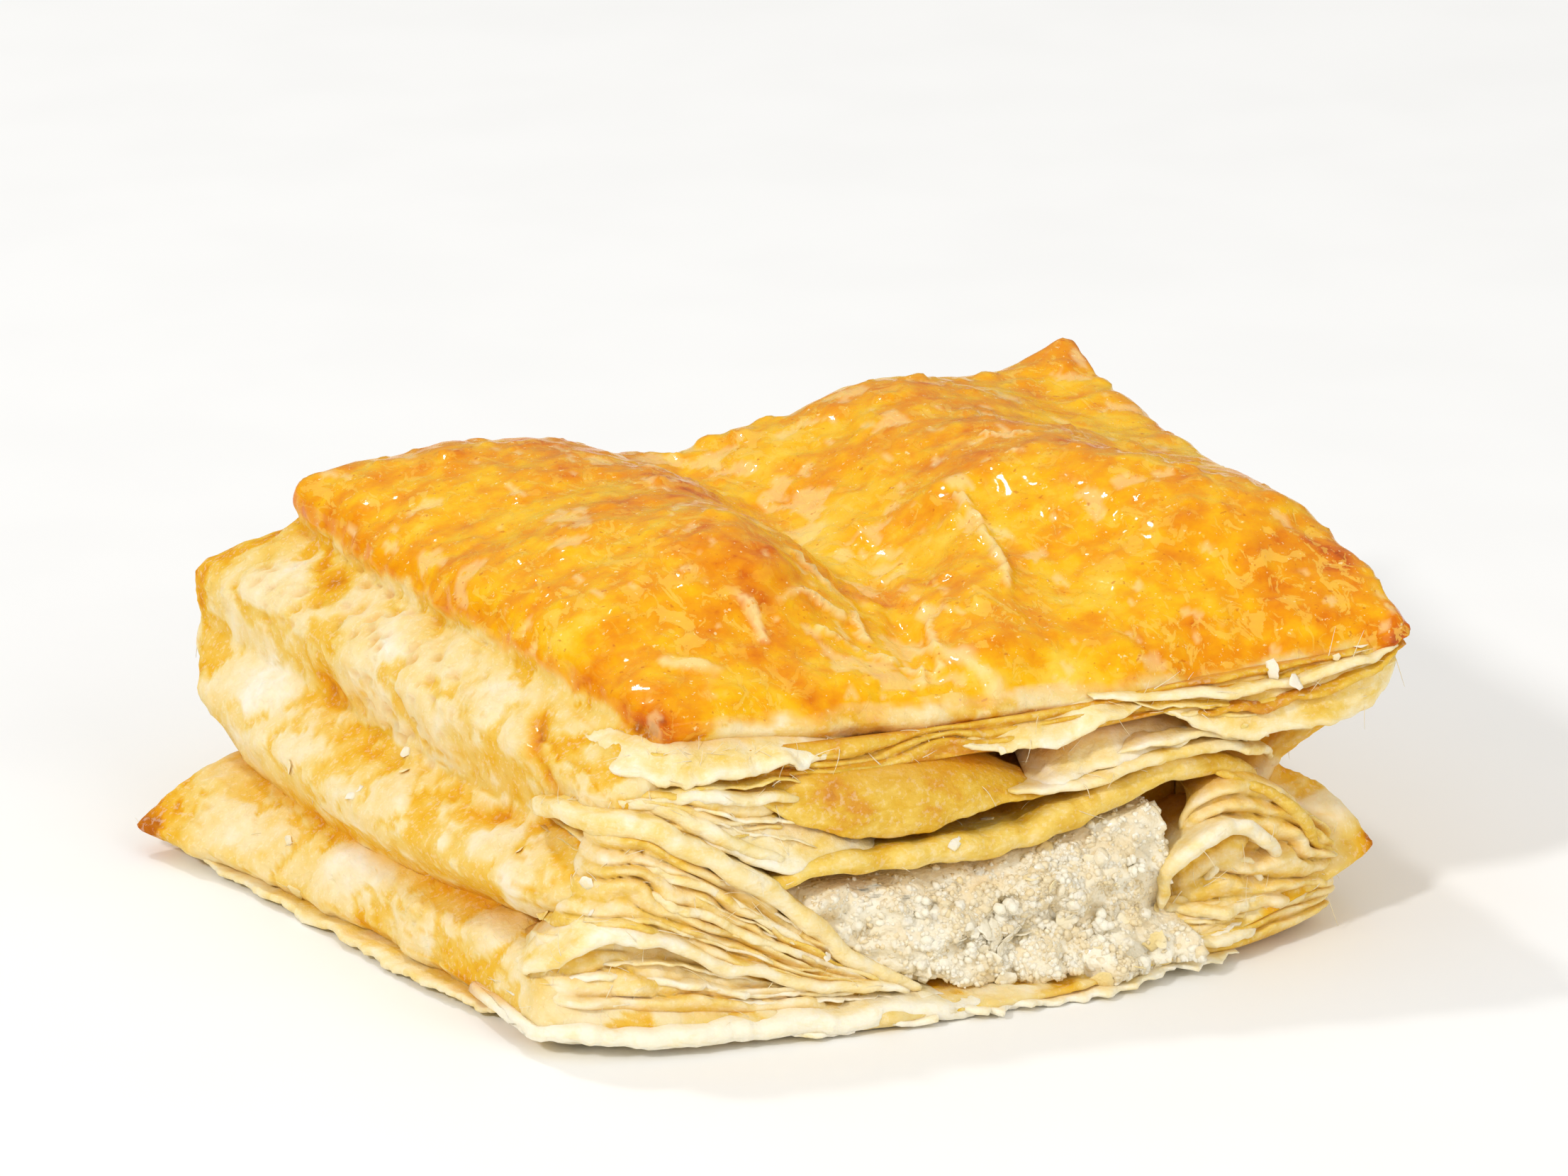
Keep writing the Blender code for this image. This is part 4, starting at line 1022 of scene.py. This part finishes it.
def make_grains(core):
    """Grated coconut on the torn face of the filling: small grains, a few chunks and longer shreds."""
    p, normals = point_arrays(core)
    seen = np.flatnonzero(normals[:GRAIN_RINGS * FILLING_COLUMNS, 1] < 0.2)
    ball, ball_faces = ico_grain()
    soft = field(p, 3.0, 73, 2)
    grains = Pile()
    for k in rng.choice(seen, GRAINS):
        size = rng.gamma(3.0, 0.06) + 0.14
        shape = ball * (1 + 0.25 * rng.uniform(-1, 1, (12, 1))) * size * rng.uniform(0.6, 1.4, 3)
        centre = p[k] + normals[k] * size * rng.uniform(-1.0, -0.4) + rng.normal(0, 0.08, 3)
        grains.add(shape @ random_turn() + centre, ball_faces,
                   wet=float(ramp(soft[k] + rng.normal(0, 0.25), -0.8, 0.8)),
                   yellow=max(0.0, rng.normal(-0.3, 0.3)))
    for x, z, size in CLUMPS:
        nearest = seen[np.argmin(np.hypot(p[seen, 0] - x, p[seen, 2] - z))]
        for _ in range(CLUMP_GRAINS):
            part = ball * size * rng.uniform(0.35, 0.6, 3)
            grains.add(part @ random_turn() + p[nearest] + normals[nearest] * 0.3 * size
                       + rng.normal(0, 0.33 * size, 3), ball_faces, wet=0.05, yellow=0.0)

    shreds = Pile()
    low = seen[(p[seen, 2] < 7.5) & (p[seen, 0] > 2.0)]
    for number in range(SHREDS):
        k = rng.choice(low if number < SHREDS // 2 else seen)
        add_scrap(shreds, p[k], normals[k], rng.uniform(*SHRED_SIZES), FIRST_SHRED + number)
    flakes = shreds.build("coconut_shreds")
    points, _ = point_arrays(flakes)
    set_layer(flakes, "wet", 0.3)
    set_layer(flakes, "yellow", ramp(field(points, 6.0, 72), -0.4, 0.5))
    return grains.build("coconut_grains"), flakes


# Materials.

def linear(red, green, blue):
    """A colour from 0 to 255 as a screen shows it, as the linear values that a shader needs."""
    return tuple((c / 255 / 12.92 if c / 255 <= 0.04045 else ((c / 255 + 0.055) / 1.055) ** 2.4)
                 for c in (red, green, blue)) + (1.0,)


class Nodes:
    """Short ways to add nodes to a material."""

    def __init__(self, name):
        self.material = bpy.data.materials.new(name)
        self.material.use_nodes = True
        self.tree = self.material.node_tree
        self.shader = self.tree.nodes["Principled BSDF"]
        self.place = self.tree.nodes.new("ShaderNodeTexCoord").outputs["Object"]

    def link(self, value, socket):
        if isinstance(value, (int, float, tuple)):
            socket.default_value = value
        else:
            self.tree.links.new(value, socket)

    def layer(self, name):
        node = self.tree.nodes.new("ShaderNodeAttribute")
        node.attribute_name = name
        return node.outputs["Fac"]

    def noise(self, size, detail=3.0, rough=0.5, stretch=None, twist=0.0):
        """Noise from 0 to 1 with features of about the given size in mm."""
        node = self.tree.nodes.new("ShaderNodeTexNoise")
        node.inputs["Scale"].default_value = 1.0 / (size * MM)
        node.inputs["Detail"].default_value = detail
        node.inputs["Roughness"].default_value = rough
        node.inputs["Distortion"].default_value = twist
        place = self.place
        if stretch:
            mapping = self.tree.nodes.new("ShaderNodeMapping")
            mapping.inputs["Scale"].default_value = stretch
            self.link(place, mapping.inputs["Vector"])
            place = mapping.outputs["Vector"]
        self.link(place, node.inputs["Vector"])
        return node.outputs["Fac"]

    def cells(self, size):
        """Distance to the nearest scattered point, with points about size mm apart."""
        node = self.tree.nodes.new("ShaderNodeTexVoronoi")
        node.inputs["Scale"].default_value = 1.0 / (size * MM)
        self.link(self.place, node.inputs["Vector"])
        return node.outputs["Distance"]

    def math(self, operation, a, b=0.0, c=0.0):
        node = self.tree.nodes.new("ShaderNodeMath")
        node.operation = operation
        for value, socket in zip((a, b, c), node.inputs):
            self.link(value, socket)
        return node.outputs["Value"]

    def add(self, a, b):
        return self.math("ADD", a, b)

    def times(self, a, b):
        return self.math("MULTIPLY", a, b)

    def swing(self, value, amount):
        """Noise from 0 to 1 as amount from its lowest to its highest, with 0 in the middle."""
        return self.math("MULTIPLY_ADD", value, amount, -amount / 2)

    def between(self, value, low, high, to_low=0.0, to_high=1.0):
        """value from low to high as to_low to to_high, clamped and smooth."""
        node = self.tree.nodes.new("ShaderNodeMapRange")
        node.interpolation_type = "SMOOTHSTEP"
        for name, number in (("From Min", low), ("From Max", high), ("To Min", to_low), ("To Max", to_high)):
            node.inputs[name].default_value = number
        self.link(value, node.inputs["Value"])
        return node.outputs["Result"]

    def colours(self, value, stops):
        """A colour for each value, from stops of (place, colour)."""
        node = self.tree.nodes.new("ShaderNodeValToRGB")
        elements = node.color_ramp.elements
        while len(elements) < len(stops):
            elements.new(0.5)
        for element, (place, colour) in zip(elements, stops):
            element.position = place
            element.color = colour
        self.link(value, node.inputs["Fac"])
        return node.outputs["Color"]

    def mix(self, share, first, second):
        """first where share is 0 and second where it is 1, as colours."""
        node = self.tree.nodes.new("ShaderNodeMix")
        node.data_type = "RGBA"
        self.link(share, node.inputs["Factor"])
        self.link(first, node.inputs[6])
        self.link(second, node.inputs[7])
        return node.outputs[2]

    def bump(self, height, distance, strength=1.0, under=None):
        """A normal for the height in units of distance mm."""
        node = self.tree.nodes.new("ShaderNodeBump")
        self.link(strength, node.inputs["Strength"])
        node.inputs["Distance"].default_value = distance * MM
        self.link(height, node.inputs["Height"])
        if under is not None:
            self.link(under, node.inputs["Normal"])
        return node.outputs["Normal"]

    def set(self, **values):
        """Sets or links the shader's sockets; _ stands for a space."""
        for name, value in values.items():
            self.link(value, self.shader.inputs[name.replace("_", " ")])


GOLD = ((0.0, linear(248, 202, 62)), (0.25, linear(245, 184, 8)), (0.45, linear(239, 160, 0)),
        (0.65, linear(230, 137, 0)), (0.82, linear(210, 103, 0)), (1.0, linear(150, 56, 6)))
CREAM = ((0.0, linear(249, 239, 217)), (0.22, linear(244, 223, 172)), (0.45, linear(239, 203, 110)),
         (0.65, linear(235, 181, 50)), (0.82, linear(227, 153, 24)), (1.0, linear(184, 100, 20)))
LEAF = ((0.0, linear(253, 243, 218)), (0.22, linear(249, 227, 168)), (0.45, linear(240, 204, 94)),
        (0.65, linear(226, 178, 42)), (0.82, linear(215, 145, 24)), (1.0, linear(176, 96, 16)))


def pastry_material():
    """Baked dough: glazed gold where glaze is 1, pale cream leaves where it is 0, and painted ochre shade in
    hollows, creases and on the torn front.
    """
    n = Nodes("baked_puff_pastry")
    glaze, toast, peel, deep = (n.layer(name) for name in ("glaze", "toast", "peel", "deep"))
    fine = n.noise(1.1, 5.0, 0.62)
    broad = n.noise(4.6, 4.0, 0.6)
    shade = n.add(n.swing(fine, 0.44), n.swing(broad, 0.66))
    tone = n.add(toast, shade)
    gold = n.colours(tone, GOLD)
    cream = n.colours(n.add(toast, n.times(shade, 0.5)), CREAM)

    often = n.between(n.noise(13.0, 2.0), 0.35, 0.65, 0.25, 1.0)
    scale = n.noise(3.0, 5.0, 0.6, stretch=(1.0, 0.6, 1.0), twist=1.4)
    flecks = n.noise(1.3, 4.0, 0.6, stretch=(1.0, 0.5, 1.0), twist=1.0)
    patches = n.math("MAXIMUM", n.between(scale, 0.565, 0.59), n.between(flecks, 0.585, 0.61, 0.0, 0.8))
    gold = n.mix(n.times(n.times(patches, often), 0.56), gold, linear(249, 202, 82))
    gold = n.mix(n.times(n.times(peel, n.between(fine, 0.28, 0.42)), 0.72), gold, linear(254, 224, 156))
    specks = n.between(n.noise(0.8, 2.0, 0.5), 0.68, 0.74)
    gold = n.mix(n.times(specks, 0.5), gold, linear(194, 84, 6))
    # Painted glints: small pale spots mixed into the gold as highlights.
    painted_glints = n.between(n.noise(0.6, 3.0, 0.6), 0.665, 0.69)
    gold = n.mix(n.times(painted_glints, 0.6), gold, linear(255, 236, 176))

    powder = n.between(n.noise(0.55, 3.0, 0.6), 0.52, 0.66)
    cream = n.mix(n.times(powder, 0.25), cream, linear(253, 244, 220))
    # Painted shade: ochre in hollows, creases and on the torn front.
    cream = n.mix(n.times(deep, 0.62), cream, linear(230, 162, 36))

    colour = n.mix(glaze, cream, gold)
    rough_gold = n.between(fine, 0.35, 0.7, 0.22, 0.42)
    rough = n.add(n.times(glaze, rough_gold), n.times(n.math("SUBTRACT", 1.0, glaze), 0.62))
    bumps = n.bump(n.noise(0.8, 4.0, 0.55), 0.18, n.math("MULTIPLY_ADD", glaze, -0.35, 0.75))
    bumps = n.bump(n.cells(0.9), 0.12, n.math("MULTIPLY_ADD", glaze, -0.3, 0.5), under=bumps)
    bumps = n.bump(n.math("SUBTRACT", 1.0, patches), 0.10, 0.45, under=bumps)
    n.set(Base_Color=colour, Roughness=rough, Normal=bumps, IOR=1.25, Coat_Roughness=0.05, Coat_IOR=1.4,
          Specular_IOR_Level=0.08, Coat_Weight=n.times(glaze, 0.4), Subsurface_Weight=0.22,
          Subsurface_Radius=(1.0, 0.55, 0.22), Subsurface_Scale=1.6 * MM)
    return n.material


def leaf_material():
    """Soft torn leaves: cream to yellow, buttery and translucent, with painted ochre shade towards their
    roots and in the gaps between their lips.
    """
    n = Nodes("torn_puff_leaves")
    toast, deep = n.layer("toast"), n.layer("deep")
    fine = n.noise(0.9, 5.0, 0.62)
    streaks = n.noise(2.2, 4.0, 0.6, stretch=(1.0, 0.4, 2.2), twist=0.8)
    shade = n.add(n.swing(fine, 0.30), n.swing(streaks, 0.5))
    cream = n.colours(n.add(toast, n.times(shade, 0.8)), LEAF)
    powder = n.between(n.noise(0.5, 3.0, 0.6), 0.52, 0.66)
    cream = n.mix(n.times(powder, 0.18), cream, linear(255, 250, 236))
    # Painted shade: ochre towards the roots and in the gaps between lips.
    cream = n.mix(n.times(deep, 0.74), cream, linear(220, 152, 28))
    bumps = n.bump(n.noise(0.6, 5.0, 0.6), 0.20, 0.7)
    bumps = n.bump(streaks, 0.3, 0.5, under=bumps)
    n.set(Base_Color=cream, Roughness=n.between(fine, 0.3, 0.7, 0.38, 0.62), Normal=bumps, IOR=1.42,
          Subsurface_Weight=0.2, Subsurface_Radius=(0.8, 0.66, 0.4), Subsurface_Scale=1.0 * MM)
    return n.material


def coconut_material():
    """Moist grated coconut: white, slightly grey where it is wet, and translucent."""
    n = Nodes("moist_coconut")
    wet, yellow = n.layer("wet"), n.layer("yellow")
    fine = n.noise(0.6, 4.0, 0.6)
    white = n.mix(n.between(n.add(wet, n.swing(fine, 0.6)), 0.2, 0.9),
                  linear(252, 244, 222), linear(243, 223, 180))
    colour = n.mix(n.times(yellow, 0.85), white, linear(246, 218, 140))
    bumps = n.bump(n.noise(0.45, 4.0, 0.65), 0.16, 0.8)
    bumps = n.bump(n.cells(0.5), 0.1, 0.7, under=bumps)
    n.set(Base_Color=colour, Roughness=n.between(fine, 0.3, 0.7, 0.16, 0.42), Normal=bumps, IOR=1.42,
          Subsurface_Weight=0.18, Subsurface_Radius=(0.6, 0.6, 0.55), Subsurface_Scale=0.5 * MM,
          Coat_Weight=0.5, Coat_Roughness=0.05)
    return n.material


def floor_material():
    """A plain pale table top."""
    n = Nodes("pale_floor")
    n.set(Base_Color=linear(253, 253, 252), Roughness=n.between(n.noise(30.0, 2.0), 0.3, 0.7, 0.55, 0.65))
    return n.material


# Floor, light and camera.

# The camera stands above the torn side, turned towards the left side, as in the photograph.
CAMERA_TARGET = (9.2, 10.7, 24.7)
CAMERA_DISTANCE = 900.0
CAMERA_ELEVATION = 17.0
CAMERA_TURN = 24.0
CAMERA_LENS = 207.4

# The surround is dimmer at the horizon than overhead.
SKY_LOW, SKY_HIGH = 0.22, 0.82

# Lights: name, place round the pastry in degrees to the left of the torn side, elevation,
# distance and size in mm, and power in watts.
Lamp = namedtuple("Lamp", "name turn elevation distance size power")
LAMPS = (
    Lamp("key", 60.0, 34.0, 1800.0, 200.0, 12.4),
    Lamp("fill", -20.0, 24.0, 1800.0, 1300.0, 8.0),
    Lamp("top", 165.0, 52.0, 1800.0, 170.0, 5.6),
)


def from_target(turn, elevation, distance):
    """A place round the pastry, in metres."""
    a, e = math.radians(turn), math.radians(elevation)
    away = Vector((-math.sin(a) * math.cos(e), -math.cos(a) * math.cos(e), math.sin(e)))
    return (Vector(CAMERA_TARGET) + away * distance) * MM, away


def add_camera():
    """The camera at the photograph's viewing angle."""
    camera = bpy.data.objects.new("camera", bpy.data.cameras.new("camera"))
    camera.data.lens = CAMERA_LENS
    camera.data.sensor_width = 36.0
    camera.data.clip_end = 10.0
    camera.location, away = from_target(CAMERA_TURN, CAMERA_ELEVATION, CAMERA_DISTANCE)
    camera.rotation_euler = (-away).to_track_quat("-Z", "Y").to_euler()
    bpy.context.scene.collection.objects.link(camera)
    bpy.context.scene.camera = camera


def add_lights():
    """Soft studio lamps and a plain white surround."""
    for lamp in LAMPS:
        light = bpy.data.objects.new(lamp.name, bpy.data.lights.new(lamp.name, "AREA"))
        light.data.shape = "DISK"
        light.data.size = lamp.size * MM
        light.data.energy = lamp.power
        light.location, away = from_target(lamp.turn, lamp.elevation, lamp.distance)
        light.rotation_euler = (-away).to_track_quat("-Z", "Y").to_euler()
        bpy.context.scene.collection.objects.link(light)
    world = bpy.data.worlds.new("surround")
    world.use_nodes = True
    tree = world.node_tree
    background = tree.nodes["Background"]
    background.inputs["Color"].default_value = (1.0, 0.99, 0.97, 1.0)
    direction = tree.nodes.new("ShaderNodeTexCoord")
    height = tree.nodes.new("ShaderNodeSeparateXYZ")
    strength = tree.nodes.new("ShaderNodeMapRange")
    for name, value in (("From Min", 0.0), ("From Max", 1.0), ("To Min", SKY_LOW), ("To Max", SKY_HIGH)):
        strength.inputs[name].default_value = value
    tree.links.new(direction.outputs["Generated"], height.inputs["Vector"])
    tree.links.new(height.outputs["Z"], strength.inputs["Value"])
    tree.links.new(strength.outputs["Result"], background.inputs["Strength"])
    bpy.context.scene.world = world
    bpy.context.scene.view_settings.view_transform = "Standard"


def add_floor():
    """A wide plain floor."""
    corners = [(sx * 2500.0, sy * 2500.0, 0.0) for sx, sy in ((-1, -1), (1, -1), (1, 1), (-1, 1))]
    floor = new_object("floor", corners, [(0, 1, 2, 3)])
    floor.data.materials.append(floor_material())


def finish_piece(piece, material, node):
    """Puts a piece on the pastry in the place of a CAD node."""
    piece.data.materials.append(material)
    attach(piece, "root")
    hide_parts(node)


def main():
    body, span, side = make_body()
    carve_body(body, span, side)
    torn_pieces = make_leaves()
    torn_pieces += make_trimmings(body, span, torn_pieces)
    core = make_filling()
    grains, shreds = make_grains(core)

    dough, torn, coconut = pastry_material(), leaf_material(), coconut_material()
    finish_piece(body, dough, "pastry")
    for piece in torn_pieces:
        finish_piece(piece, torn, "pastry")
    for piece in (core, grains, shreds):
        finish_piece(piece, coconut, "coconut_filling")
    add_floor()
    add_lights()
    add_camera()


main()
